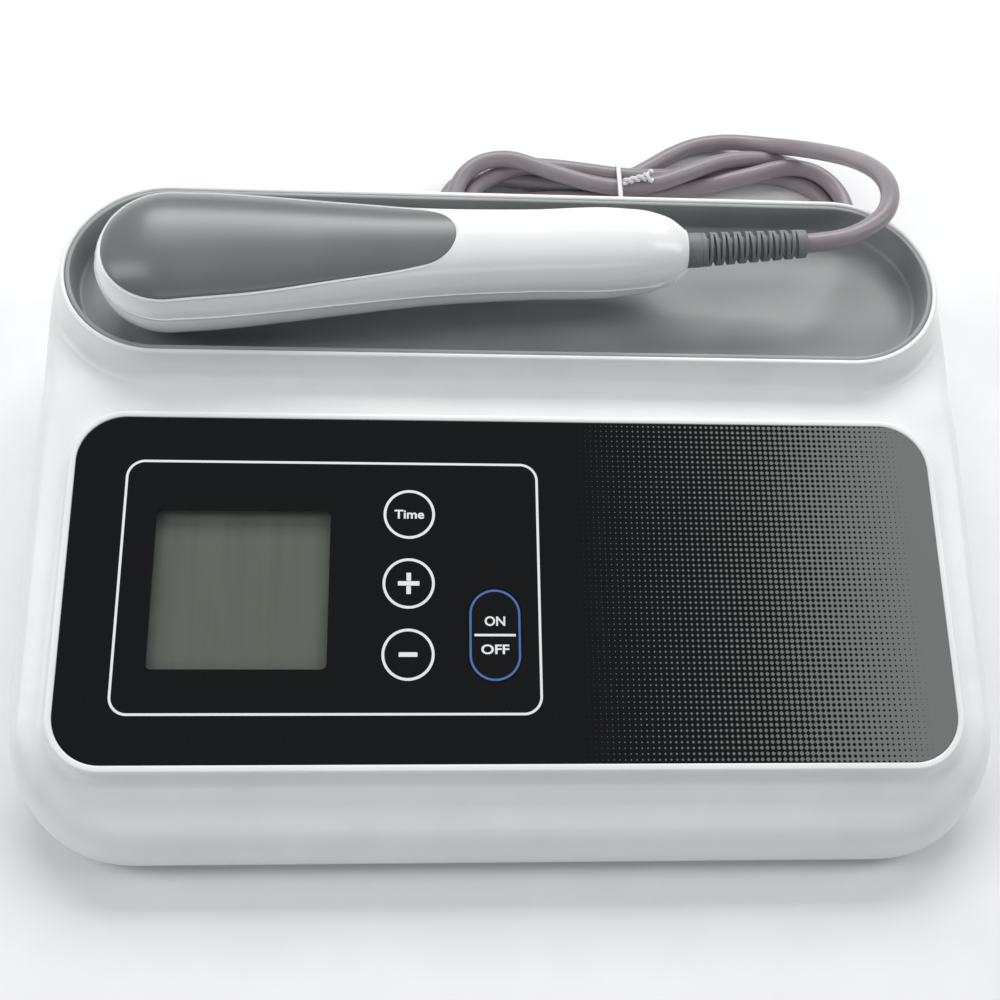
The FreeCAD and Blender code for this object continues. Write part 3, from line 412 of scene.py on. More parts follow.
def makeCord():
    begin = np.array(cordFacts["reliefEnd"])
    way = np.array(cordFacts["reliefWay"])
    route = np.concatenate([[begin - way * 3, begin + way * 8.0], hankRoute()])
    line = sampledSpline(route)
    points, faces = tubeAlong(line, cordFacts["diameter"] / 2, sides=18)
    mesh = meshFrom("handsetCable", [(points, faces)])
    cable = addPiece("handsetCable", mesh, cordPvc, body=None,
                     replaced=["handset_cord", "cord_hank"])
    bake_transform(cable)
    return cable, line


cable, cordLine = makeCord()


case = {"halfW": 142.0, "halfD": 103.0, "frontR": 36.0, "rearR": 34.0, "split": 7.0,
        "slope": math.radians(10.1), "slopeY": -86.0, "slopeZ": 22.0, "top": 41.6,
        "kneeSoft": 0.8, "frontRoll": 17.0, "sideRoll": 8.0, "rearRoll": 2.5, "wall": 0.8, "skirt": 0.8,
        "sharp": 42, "holes": [("power_inlet", 5.7, 48), ("cord_gland", 4.1, 32)]}
panel = {"y": -30.0, "z": 36.0, "tilt": math.radians(8.0), "halfU": 127.5, "halfV": 51.15,
         "radius": 14.0, "bezel": 2.2, "proud": 0.3, "edge": 0.8, "foot": 4.2}
tray = {"y": 70.4, "rimL": 138.2, "rimB": 32.0, "rimZ": 51.0, "linerL": 136.3, "linerB": 30.2,
        "floor": 40.0, "cove": 6.0, "coveZ": 47.2}
ringSteps = {"long": 72, "short": 40, "corner": 20, "net": 3.4, "netGap": 1.5}


def onPanel(u, v, w):
    c, s = math.cos(panel["tilt"]), math.sin(panel["tilt"])
    u, v, w = np.broadcast_arrays(u, v, w)
    return np.stack([u, panel["y"] + v * c - w * s, panel["z"] + v * s + w * c], -1)


def deckHeight(y):
    # Sloping line up to the level top, joined by a soft minimum.
    slope = case["slopeZ"] + math.tan(case["slope"]) * (y - case["slopeY"])
    soft = case["kneeSoft"]
    return -soft * np.logaddexp(-slope / soft, -case["top"] / soft)


def edgeDistance(x, y):
    # Distance in from the case's outline, and the outward direction there.
    r = np.where(y < 0, case["frontR"], case["rearR"])
    q = np.stack([np.abs(x) - (case["halfW"] - r), np.abs(y) - (case["halfD"] - r)], -1)
    pos = np.maximum(q, 0)
    length = np.linalg.norm(pos, axis=-1)
    inside = -(np.minimum(q.max(-1), 0) + length - r)
    flat = np.stack([q[..., 0] >= q[..., 1], q[..., 0] < q[..., 1]], -1).astype(float)
    way = np.where((length > 1e-9)[..., None], pos / np.maximum(length, 1e-9)[..., None], flat)
    return inside, way * np.stack([np.sign(x), np.sign(y)], -1)


def rimDistance(x, y):
    # Distance outside the tray's rim.
    core = np.clip(x, -(tray["rimL"] - tray["rimB"]), tray["rimL"] - tray["rimB"])
    return np.hypot(x - core, y - tray["y"]) - tray["rimB"]


def rollRadius(x, y, d, way):
    # Wide at the front, smaller along the sides, small behind, and never wider than half
    # the room that the tray's rim leaves.
    side = case["sideRoll"]
    wanted = side + np.where(way[..., 1] < 0, (case["frontRoll"] - side) * np.abs(way[..., 1]) ** 1.5,
                             (case["rearRoll"] - side) * way[..., 1])
    room = rimDistance(x + way[..., 0] * d, y + way[..., 1] * d)
    return np.minimum(wanted, np.maximum(room, 0.2) * 0.5)


def rollDrop(r, outlineY):
    # never deeper than the wall that stands under it
    return np.minimum(r, deckHeight(outlineY) - case["split"] - case["skirt"])


def shellHeight(x, y):
    # The deck less the roll at the edge: a quarter circle dropping to the side wall.
    d, way = edgeDistance(x, y)
    r = rollRadius(x, y, d, way)
    t = np.clip(1 - d / r, 0, 1)
    drop = rollDrop(r, y + way[..., 1] * d)
    return deckHeight(y) - drop * (1 - np.sqrt(np.maximum(1 - t * t, 0)))


def ringStrip(rings):
    points = np.stack(rings)
    return points.reshape(-1, 3), gridFaces(len(rings), points.shape[1], loopCols=True)


def plateauStrip():
    # Profile carried round the panel: up inside, over the white edge, down a short wall and
    # out through a fillet that lands on the deck.
    core, out, rad = roundedRing(panel["halfU"], panel["halfV"], panel["radius"],
                                 ringSteps["long"], ringSteps["short"], ringSteps["corner"])
    rings = []
    for g, w in ((0.15, -1.3), (0.15, 0.05), (0.22, 0.2), (0.4, 0.3), (1.0, 0.3), (1.5, 0.3)):
        p = core + (rad + g)[:, None] * out
        rings.append(onPanel(p[:, 0], p[:, 1], w))
    edge, bezel = panel["edge"], panel["bezel"]
    start = core + (rad + bezel - edge)[:, None] * out
    first = onPanel(start[:, 0], start[:, 1], panel["proud"])
    for a in np.radians((15, 30, 45, 60, 75, 90)):
        p = first.copy()
        p[:, :2] += out * edge * math.sin(a)
        p[:, 2] -= edge * (1 - math.cos(a))
        rings.append(p)
    edgeRing = rings[-1]
    drop = edgeRing[:, 2] - shellHeight(*(edgeRing[:, :2] + out * 2).T)
    foot = np.clip(drop * 0.75, 0.3, panel["foot"])
    for b in np.radians((0, 12, 24, 36, 48, 60, 72, 82, 90)):
        p = edgeRing.copy()
        p[:, :2] += out * (0.15 + foot * (1 - math.cos(b)))[:, None]
        p[:, 2] = shellHeight(p[:, 0], p[:, 1]) + foot * (1 - math.sin(b))
        rings.append(p)
    return rings


def rimStrip():
    # Profile carried round the tray: up inside the rim, over its rounded top and down
    # through a cove that spreads onto the deck.
    core, out, rad = roundedRing(tray["rimL"], tray["rimB"], tray["rimB"] - 1e-4,
                                 ringSteps["long"] * 2, 1, ringSteps["corner"] * 2)
    core = core + [0, tray["y"]]
    outline = core + rad[:, None] * out
    rings = []
    for g, z in ((-1.72, 47.5), (-1.72, 50.45), (-1.6, 50.78), (-1.35, 50.95), (-0.95, 51.0),
                 (-0.5, 50.95), (-0.2, 50.78), (-0.05, 50.5), (0.0, 50.1)):
        rings.append(np.concatenate([outline + g * out, np.full((len(out), 1), z)], 1))
    # room to the case's outline along each ray
    steps = np.linspace(0, 12, 241)
    ray = outline[:, None] + steps[:, None] * out[:, None]
    room = steps[(edgeDistance(ray[..., 0], ray[..., 1])[0] > 0).sum(1) - 1]
    reach = np.minimum(tray["cove"], 0.8 * np.maximum(room, 0.15))
    base = np.minimum(0.5, 0.15 * reach)
    end = outline + reach[:, None] * out
    endZ = shellHeight(end[:, 0], end[:, 1])
    for t in np.linspace(0, 1, 13):
        p = outline + (base + (reach - base) * t)[:, None] * out
        ground = shellHeight(p[:, 0], p[:, 1]) * t + endZ * (1 - t)
        z = ground + (tray["coveZ"] - ground) * (1 - t) ** 2.3
        rings.append(np.concatenate([p, z[:, None]], 1))
    return rings


def edgeStrip(innerRoom):
    # Profile carried round the case: lower edge, upright wall and the roll over the top.
    core, out, rad = roundedRing(case["halfW"], case["halfD"], case["frontR"],
                                 ringSteps["long"] * 2, ringSteps["short"] * 2, ringSteps["corner"] * 2,
                                 rearRadius=case["rearR"])
    outline = core + rad[:, None] * out
    r = rollRadius(outline[:, 0], outline[:, 1], 0.0, out)
    inner = np.minimum(r, innerRoom(outline) * 0.45)
    drop = rollDrop(r, outline[:, 1])
    crown = deckHeight(outline[:, 1]) - drop
    rings = []
    for d, z in ((0.45, case["split"]), (0.12, case["split"] + 0.12), (0.0, case["split"] + 0.5)):
        rings.append(np.concatenate([outline - d * out, np.full((len(out), 1), z)], 1))
    for t in (0.35, 0.7):
        z = case["split"] + 0.5 + (crown - case["split"] - 0.5) * t
        rings.append(np.concatenate([outline, z[:, None]], 1))
    last = np.arccos(np.clip(1 - inner / r, -1, 1))
    for t in np.linspace(0, 1, 13):
        p = outline - (r * (1 - np.cos(last * t)))[:, None] * out
        y0 = deckHeight(p[:, 1])
        z = y0 - drop * (1 - np.sin(last * t))
        rings.append(np.concatenate([p, z[:, None]], 1))
    return rings


def insidePolygon(points, ring):
    # Counts how often a ray from each point crosses the ring.
    a, b = ring, np.roll(ring, -1, 0)
    px, py = points[:, :1], points[:, 1:2]
    cross = (a[:, 1] > py) != (b[:, 1] > py)
    rise = np.where(b[:, 1] == a[:, 1], 1e-9, b[:, 1] - a[:, 1])
    at = a[:, 0] + (py - a[:, 1]) * (b[:, 0] - a[:, 0]) / rise
    return (cross & (px < at)).sum(1) % 2 == 1


def nearRings(points, rings, margin):
    every = np.concatenate(rings)
    return np.array([np.hypot(*(every - p).T).min() < margin for p in points])


def deckFill(outer, holes):
    # The open deck between the strips: a plan net of points at even spacing, held to the
    # strips' own edges, and lifted to the deck's height.
    net = ringSteps["net"]
    xs, ys = np.meshgrid(np.arange(-139, 140, net), np.arange(-100, 101, net))
    xs = xs + np.where(np.arange(xs.shape[0]) % 2 == 0, 0, net / 2)[:, None]
    seeds = np.stack([xs.ravel(), ys.ravel()], 1)
    keep = insidePolygon(seeds, outer)
    for hole in holes:
        keep &= ~insidePolygon(seeds, hole)
    seeds = seeds[keep]
    seeds = seeds[~nearRings(seeds, [outer] + holes, ringSteps["netGap"])]
    coords, edges = [], []
    for ring in [outer] + holes:
        n = len(ring)
        edges += [(len(coords) + k, len(coords) + (k + 1) % n) for k in range(n)]
        coords += [Vector(p) for p in ring]
    coords += [Vector(p) for p in seeds]
    verts, edges, faces, fromVerts, fromEdges, _ = delaunay_2d_cdt(coords, edges, [], 0, 1e-5)
    verts = np.array([tuple(v) for v in verts])
    firstSeed = len(coords) - len(seeds)
    isSeed = [min(given, default=0) >= firstSeed for given in fromVerts]
    held = {tuple(sorted(e)) for e, given in zip(edges, fromEdges) if len(given)}
    sides = {}
    for k, face in enumerate(faces):
        for a, b in zip(face, face[1:] + face[:1]):
            sides.setdefault((min(a, b), max(a, b)), []).append(k)
    # faces spread from the net's own points and never cross a strip's edge
    kept = {k for k, face in enumerate(faces) if any(isSeed[v] for v in face)}
    todo = list(kept)
    while todo:
        face = faces[todo.pop()]
        for a, b in zip(face, face[1:] + face[:1]):
            side = (min(a, b), max(a, b))
            fresh = [k for k in sides[side] if side not in held and k not in kept]
            kept.update(fresh)
            todo += fresh
    faces = [faces[k] for k in sorted(kept)]
    return np.concatenate([verts, shellHeight(verts[:, 0], verts[:, 1])[:, None]], 1), faces


def applied(piece):
    # The piece's mesh with its modifiers applied.
    bpy.context.view_layer.update()
    graph = bpy.context.evaluated_depsgraph_get()
    mesh = bpy.data.meshes.new_from_object(piece.evaluated_get(graph))
    mesh.transform(piece.matrix_world)
    return mesh


def thickened(name, mesh, wall, cutters=()):
    # Gives an open shell its wall, then cuts round holes through it.
    piece = bpy.data.objects.new(name + "Work", mesh)
    scene.collection.objects.link(piece)
    solid = piece.modifiers.new("wall", "SOLIDIFY")
    solid.thickness, solid.offset, solid.use_even_offset = wall * mm, -1.0, False
    extra = []
    for points, faces in cutters:
        cutter = bpy.data.objects.new("cutter", meshFrom("cutter", [(points, faces)], smooth=False))
        scene.collection.objects.link(cutter)
        cut = piece.modifiers.new("hole", "BOOLEAN")
        cut.operation, cut.solver, cut.object = "DIFFERENCE", "EXACT", cutter
        extra.append(cutter)
    result = applied(piece)
    result.name = name
    bm = bmesh.new()
    bm.from_mesh(result)
    bmesh.ops.remove_doubles(bm, verts=bm.verts, dist=2e-6)   # slivers left by the cut
    bm.to_mesh(result)
    bm.free()
    for spare in extra + [piece]:
        bpy.data.objects.remove(spare)
    result.polygons.foreach_set("use_smooth", [True] * len(result.polygons))
    return result


def sharpen(mesh, degrees):
    # Marks edges sharper than the angle, so that smooth shading stops there.
    bm = bmesh.new()
    bm.from_mesh(mesh)
    for edge in bm.edges:
        edge.smooth = not (edge.is_manifold and edge.calc_face_angle(0) > math.radians(degrees))
    bm.to_mesh(mesh)
    bm.free()
    return mesh


def makeCase():
    plateau, rim = plateauStrip(), rimStrip()
    plateauEnd, rimEnd = plateau[-1][:, :2], rim[-1][:, :2]

    def room(outline):
        part = np.linspace(0, 1, 16, endpoint=False)[:, None, None]
        every = np.concatenate([(ring * (1 - part) + np.roll(ring, -1, 0) * part).reshape(-1, 2)
                                for ring in (plateauEnd, rimEnd)])
        return np.array([np.hypot(*(every - p).T).min() for p in outline])
    edge = edgeStrip(room)
    fill = deckFill(edge[-1][:, :2], [plateauEnd, rimEnd])
    mesh = meshFrom("caseTop", [ringStrip(plateau), ringStrip(rim), ringStrip(edge), fill])
    holes = []      # round holes in the rear wall, on the centres of what goes through them
    for name, radius, sides in case["holes"]:
        lo, hi = (np.array(v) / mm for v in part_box(name))
        x, _, z = (lo + hi) / 2
        holes.append(tubeAlong([(x, case["halfD"] - 5, z), (x, case["halfD"] + 3, z)], radius, sides=sides))
    mesh = thickened("caseTop", mesh, case["wall"], holes)
    sharpen(mesh, case["sharp"])
    return addPiece("caseTop", mesh, whiteAbs, replaced=["top_shell"])


caseTop = makeCase()
print("case top: %d faces" % len(caseTop.data.polygons))


dish = {"lipZ": 50.6, "lip": 1.45, "draft": 0.5, "fillet": 1.2, "under": 1.2}


def makeTray():
    # Profile carried round a stadium and drawn in to its middle line: lip, leaning wall,
    # fillet and flat floor, and the same again underneath.
    core, out, rad = roundedRing(tray["linerL"], tray["linerB"], tray["linerB"] - 1e-4,
                                 ringSteps["long"] * 2, 1, ringSteps["corner"] * 2)
    core = core + [0, tray["y"]]
    lip, z0, floor = dish["lip"], dish["lipZ"], tray["floor"]
    wallFoot = -lip - dish["draft"]
    r = dish["fillet"]
    profile = [(-tray["linerB"] + 1e-4, floor)] + [(-g, floor) for g in (24, 18, 12, 8, 5.5)]
    profile += [(wallFoot - r * (1 - math.sin(a)), floor + r * (1 - math.cos(a)))
                for a in np.radians((0, 15, 30, 45, 60, 75, 90))]
    profile += [(-lip - dish["draft"] * t, z0 - 0.35 + (floor + r - z0 + 0.35) * t) for t in (0.66, 0.33)]
    profile += [(-lip, z0 - 0.35), (-lip + 0.12, z0 - 0.08), (-lip + 0.35, z0)]
    profile += [(-0.25, z0), (-0.07, z0 - 0.08), (0.0, z0 - 0.25), (0.0, z0 - 1.3)]
    low = floor - dish["under"]
    profile += [(-lip + 0.75, z0 - 1.3), (wallFoot + 0.6, low + 0.8), (wallFoot - 0.8, low),
                (-10, low), (-20, low), (-tray["linerB"] + 1e-4, low)]
    rings = [np.concatenate([core + (rad + g)[:, None] * out, np.full((len(out), 1), z)], 1)
             for g, z in profile]
    points = np.stack(rings)
    faces = gridFaces(len(rings), points.shape[1], loopCols=True)
    mesh = sharpen(meshFrom("trayLining", [(points, faces)]), 50)
    return addPiece("trayLining", mesh, greyLiner, replaced=["tray_liner"])


makeTray()
print("tray lined")


handset = {
    "x": -102.9, "y": 67.5, "yaw": math.radians(2.3), "headR": 22.7, "headUp": 15.0,
    "headDown": 13.6, "headMid": 56.0, "headPower": 2.4, "partZ": 58.2, "tail": 158.0,
    # distance along, half width, up, down, middle height, fullness of the section
    "sections": [(0, 22.7, 15.0, 13.6, 56.0, 2.4), (15, 22.0, 14.9, 13.4, 56.2, 2.35),
                 (35, 20.0, 14.2, 12.9, 56.5, 2.3), (50, 18.3, 13.7, 12.6, 56.8, 2.25),
                 (80, 15.3, 12.6, 12.2, 57.6, 2.2), (110, 14.2, 12.1, 12.0, 58.3, 2.2),
                 (138, 13.9, 11.9, 11.9, 59.0, 2.2), (148, 12.4, 10.8, 10.8, 59.3, 2.15),
                 (154.5, 9.6, 8.6, 8.6, 59.4, 2.1), (158, 6.6, 6.2, 6.2, 59.5, 2.0)],
    "coverHead": 19.6, "coverTip": 86.0,
    "cover": [(0, 19.6), (22, 18.0), (50, 14.2), (70, 11.3), (79, 9.6), (84.6, 5.8)],
    "gap": 0.12, "wall": 0.7, "sharp": 48,
}


def inHandset(points):
    c, s = math.cos(handset["yaw"]), math.sin(handset["yaw"])
    x, y = points[..., 0], points[..., 1]
    return np.stack([handset["x"] + x * c - y * s, handset["y"] + x * s + y * c, points[..., 2]], -1)


def sectionAt(s):
    # Half width, up, down, middle and fullness at distance s: a dome over the head, then
    # smooth curves through the sections.
    table = np.array(handset["sections"], float)
    values = [through(np.maximum(s, 0), table[:, 0], table[:, k]) for k in range(1, 6)]
    r = handset["headR"]
    dome = np.sqrt(np.clip(1 - (np.minimum(s, 0) / r) ** 2, 0, 1))
    head = [r * dome, handset["headUp"] * dome ** 0.8, handset["headDown"] * dome ** 0.75]
    return [np.where(s < 0, h, v) for h, v in zip(head, values)] + [
        np.where(s < 0, handset["headMid"], values[3]), np.where(s < 0, handset["headPower"], values[4])]


def skin(s, a):
    # Handset surface: a squarish ellipse across the handle at distance s, at angle a.
    half, up, down, mid, power = sectionAt(s)
    c, d = np.cos(a), np.sin(a)
    t = half * np.sign(c) * np.abs(c) ** (2 / power)
    z = mid + np.where(d > 0, up, down) * np.sign(d) * np.abs(d) ** (2 / power)
    return np.stack(np.broadcast_arrays(s, t, z), -1)


def partAngle(s, z):
    # Angle at which the section passes height z.
    _, up, down, mid, power = sectionAt(s)
    rise = z - mid
    size = np.where(rise > 0, up, down)
    return np.sign(rise) * np.arcsin(np.clip(np.abs(rise) / np.maximum(size, 1e-6), 0, 1) ** (power / 2))


def coverHalf(s, grow=0.0):
    # Half width of the grey cover in plan: round over the head, then narrowing to a blunt tip.
    knots = np.array(handset["cover"], float)
    head, tip = handset["coverHead"] + grow, handset["coverTip"] + grow
    body = through(np.clip(s, 0, 79), knots[:5, 0], knots[:5, 1] + grow)
    front = np.sqrt(np.maximum(head ** 2 - np.minimum(s, 0) ** 2, 0))
    t = np.clip((s - 74) / (tip - 74), 0, 1)
    side = through(np.array(74.0), knots[:5, 0], knots[:5, 1]) + grow
    slope = -0.17 * (tip - 74)
    end = (side + slope * t) * np.sqrt(np.maximum(1 - t ** 3.0, 0))
    return np.where(s < 0, front, np.where(s > 74, end, body))


def coverAngle(s, grow=0.0):
    half, _, _, _, power = sectionAt(s)
    share = np.clip(coverHalf(s, grow) / np.maximum(half, 1e-6), 0, 1)
    return np.arccos(share ** (power / 2))


def coverRing(count, grow):
    # Distance and angle round the cover's edge, from the head's tip down one side.
    t = np.linspace(0, 1, count)
    front, tip = -handset["coverHead"] - grow, handset["coverTip"] + grow
    s = front + (tip - front) * (1 - np.cos(np.pi * t)) / 2
    return s, coverAngle(s, grow)


def partRing(count, z):
    # Distance and angle along the part line, then up round the tail's end.
    side = int(count * 0.88)
    near = np.linspace(-handset["headR"], 0, 4000)
    front = near[np.argmax(sectionAt(near)[3] + sectionAt(near)[1] > z)]
    t = np.linspace(0, 1, side)
    s = front + (handset["tail"] - front) * (1 - np.cos(np.pi * t ** 0.93)) / 2
    a = partAngle(s, z)
    a[0] = np.pi / 2
    rest = np.linspace(a[-1], np.pi / 2, count - side + 1)[1:]
    return np.concatenate([s, np.full(len(rest), handset["tail"])]), np.concatenate([a, rest])


def makeUpperShell():
    # Surface between the cover's edge and the part line, one half mirrored to the other.
    count, across = 150, 46
    z = handset["partZ"] + 0.08
    s0, a0 = coverRing(count, handset["gap"])
    s1, a1 = partRing(count, z)
    t = np.sin(np.linspace(0, 1, across) * np.pi / 2)[:, None] ** 0.9
    s = s0 + (s1 - s0) * t
    a = a0 + (a1 - a0) * t
    half = skin(s, a)
    inner = half[0].copy()
    inner[:, 2] -= 1.0
    bevel = half[0].copy()
    bevel[:, 2] -= 0.12
    ahead = half[1] - half[0]
    first = half[0] + ahead / np.maximum(np.linalg.norm(ahead, axis=1), 1e-9)[:, None] * 0.12
    under = half[-1].copy()
    under[:, 1] *= 0.975
    half[-1, :, 2] += 0.16
    rows = np.concatenate([[inner], [bevel], [first], half[1:], [under]])
    other = rows * [1, -1, 1]
    parts = [(inHandset(r), gridFaces(len(rows), count)) for r in (rows, other)]
    mesh = thickened("handsetUpper", meshFrom("handsetUpper", parts, weld=0.012), handset["wall"])
    sharpen(mesh, handset["sharp"])
    return addPiece("handsetUpper", mesh, whiteGloss, "handset",
                    ["handset_upper_shell"])


def makeCover():
    # The same skin inside the cover's edge, with its rim turned down.
    count, across = 150, 41
    s, a = coverRing(count, 0.0)
    u = np.linspace(-1, 1, across)[:, None]
    angle = np.pi / 2 + (np.pi / 2 - a) * u
    rows = skin(np.broadcast_to(s, angle.shape), angle)
    ends = []
    for edge in (rows[0], rows[-1]):
        bevel, low = edge.copy(), edge.copy()
        bevel[:, 2] -= 0.1
        low[:, 2] -= 1.0
        ends.append([low, bevel])
    inset = [rows[0] + (rows[1] - rows[0]) * 0.08, rows[-1] + (rows[-2] - rows[-1]) * 0.08]
    rows = np.concatenate([ends[0], [inset[0]], rows[1:-1], [inset[1]], ends[1][::-1]])
    parts = [(inHandset(rows), gridFaces(len(rows), count))]
    mesh = thickened("handsetCover", meshFrom("handsetCover", parts, weld=0.012), 0.6)
    sharpen(mesh, handset["sharp"])
    return addPiece("handsetCover", mesh, greySatin, "handset", ["handset_cover"])


def makeLowerShell():
    # The skin below the part line; the head's nose is whole, so its seam closes there.
    z = handset["partZ"] - 0.08
    t = np.linspace(0, 1, 170)
    s = -handset["headR"] + (handset["tail"] + handset["headR"]) * (1 - np.cos(np.pi * t ** 0.95)) / 2
    a = partAngle(s, z)
    a = np.where(sectionAt(s)[3] + sectionAt(s)[1] < z, np.pi / 2, a)
    u = np.linspace(0, 1, 72)[:, None]
    angle = a - (np.pi + 2 * a) * u
    rows = skin(np.broadcast_to(s, angle.shape), angle)
    edges = []
    for k in (0, -1):
        under = rows[k].copy()
        under[:, 1] *= 0.975
        edges.append(under)
        rows[k, :, 2] -= np.where(a < 1.5, 0.16, 0)
    rows = np.concatenate([[edges[0]], rows, [edges[1]]])
    holes = [tubeAlong([(d, 0, 40.0), (d, 0, 49.0)], 2.5, sides=24) for d in (92.0, 140.0)]
    cutters = [(inHandset(np.asarray(p)), f) for p, f in holes]
    parts = [(inHandset(rows), gridFaces(len(rows), len(s)))]
    mesh = thickened("handsetLower", meshFrom("handsetLower", parts, weld=0.012), handset["wall"], cutters)
    # raised seat round the treatment face
    profile = np.array([(12.4, 46.0), (12.4, 42.4), (15.6, 42.4), (15.95, 42.55), (16.1, 42.9), (16.3, 44.2),
                        (17.4, 45.4), (18.4, 46.4), (16.0, 47.0)])
    turn = np.linspace(0, 2 * np.pi, 96, endpoint=False)
    seat = np.stack([profile[:, :1] * np.cos(turn), profile[:, :1] * np.sin(turn),
                     np.broadcast_to(profile[:, 1:], (len(profile), len(turn)))], -1)
    faces = gridFaces(len(profile), len(turn), loopRows=True, loopCols=True)
    seatMesh = meshFrom("seat", [(inHandset(seat), faces)])
    bm = bmesh.new()
    bm.from_mesh(mesh)
    bm.from_mesh(seatMesh)
    bm.to_mesh(mesh)
    bm.free()
    bpy.data.meshes.remove(seatMesh)
    mesh.polygons.foreach_set("use_smooth", [True] * len(mesh.polygons))
    sharpen(mesh, handset["sharp"])
    return addPiece("handsetLower", mesh, whiteGloss, "handset", ["handset_lower_shell"])


makeUpperShell()
makeCover()
makeLowerShell()
print("handset shells made")


relief = {"length": 38.0, "collar": 5.4, "collarEnd": 4.9, "root": 5.3, "tip": 4.35, "core": 3.45,
          "slots": 16, "first": 7.0, "pitch": 1.83, "slotWide": 1.5, "reach": 150.0, "turn": 27.4,
          "pitchUp": math.radians(4.5), "tailZ": 59.5}


def ease(d, r):
    # How far a rounded edge falls back at distance d from it: r less the arc's height.
    return r * (1 - np.sqrt(np.maximum(1 - np.clip(1 - d / r, 0, 1) ** 2, 0)))


def makeRelief():
    # Radius over length and angle: a taper from collar to tip, less a wedge-shaped groove at
    # each slot, open on one side and closed by a bridge on the other, turn and turn about.
    slots = relief["first"] + relief["pitch"] * np.arange(relief["slots"])
    x = np.unique(np.round(np.concatenate([np.linspace(-2.0, relief["length"], 420), slots]), 3))
    a = np.linspace(0, 2 * np.pi, 120, endpoint=False)
    collarEnd = relief["collarEnd"]
    body = relief["root"] + (relief["tip"] - relief["root"]) * np.clip((x - 5) / (relief["length"] - 5), 0, 1)
    body = np.where(x < collarEnd, relief["collar"], body)
    body = body - ease(np.maximum(relief["length"] - x, 0), 0.7) - ease(np.abs(x - collarEnd), 0.35)
    grooveDepth = np.zeros((len(x), len(a)))
    for k, at in enumerate(slots):
        d = np.abs(x - at)
        middle = math.radians(relief["turn"] + 180 * (k % 2))
        away = np.abs((a - middle + np.pi) % (2 * np.pi) - np.pi)      # from the slot's open middle
        left = np.clip(1 - away / math.radians(relief["reach"]), 0, 1)
        half = relief["slotWide"] / 2 * left ** 0.8      # a wedge: narrows towards its bridge
        along = smoothStep((half[None] + 0.10 - d[:, None]) / 0.20)
        grooveDepth = np.maximum(grooveDepth, along * smoothStep(left * 8)[None])
    r = body[:, None] - (body[:, None] - relief["core"]) * grooveDepth
    points = np.stack([np.broadcast_to(x[:, None], r.shape), r * np.cos(a), r * np.sin(a)], -1)
    flat = np.concatenate([points.reshape(-1, 3), [[x[0], 0, 0], [x[-1] - 0.05, 0, 0]]])
    faces = [list(f) for f in gridFaces(len(x), len(a), loopCols=True)] + endFans(len(x), len(a))
    c, s = math.cos(relief["pitchUp"]), math.sin(relief["pitchUp"])
    px, py, pz = flat.T
    placed = np.stack([handset["tail"] + px * c - pz * s, py, relief["tailZ"] + px * s + pz * c], 1)
    mesh = sharpen(meshFrom("strainSleeve", [(inHandset(placed), faces)], weld=0.001), 38)
    return addPiece("strainSleeve", mesh, greyRubber, "handset", ["strain_relief"])


makeRelief()
print("strain relief slotted")


tie = {"x": 46.0, "wide": 1.7, "thick": 0.9, "tail": 11.0, "tailY": 140.0}


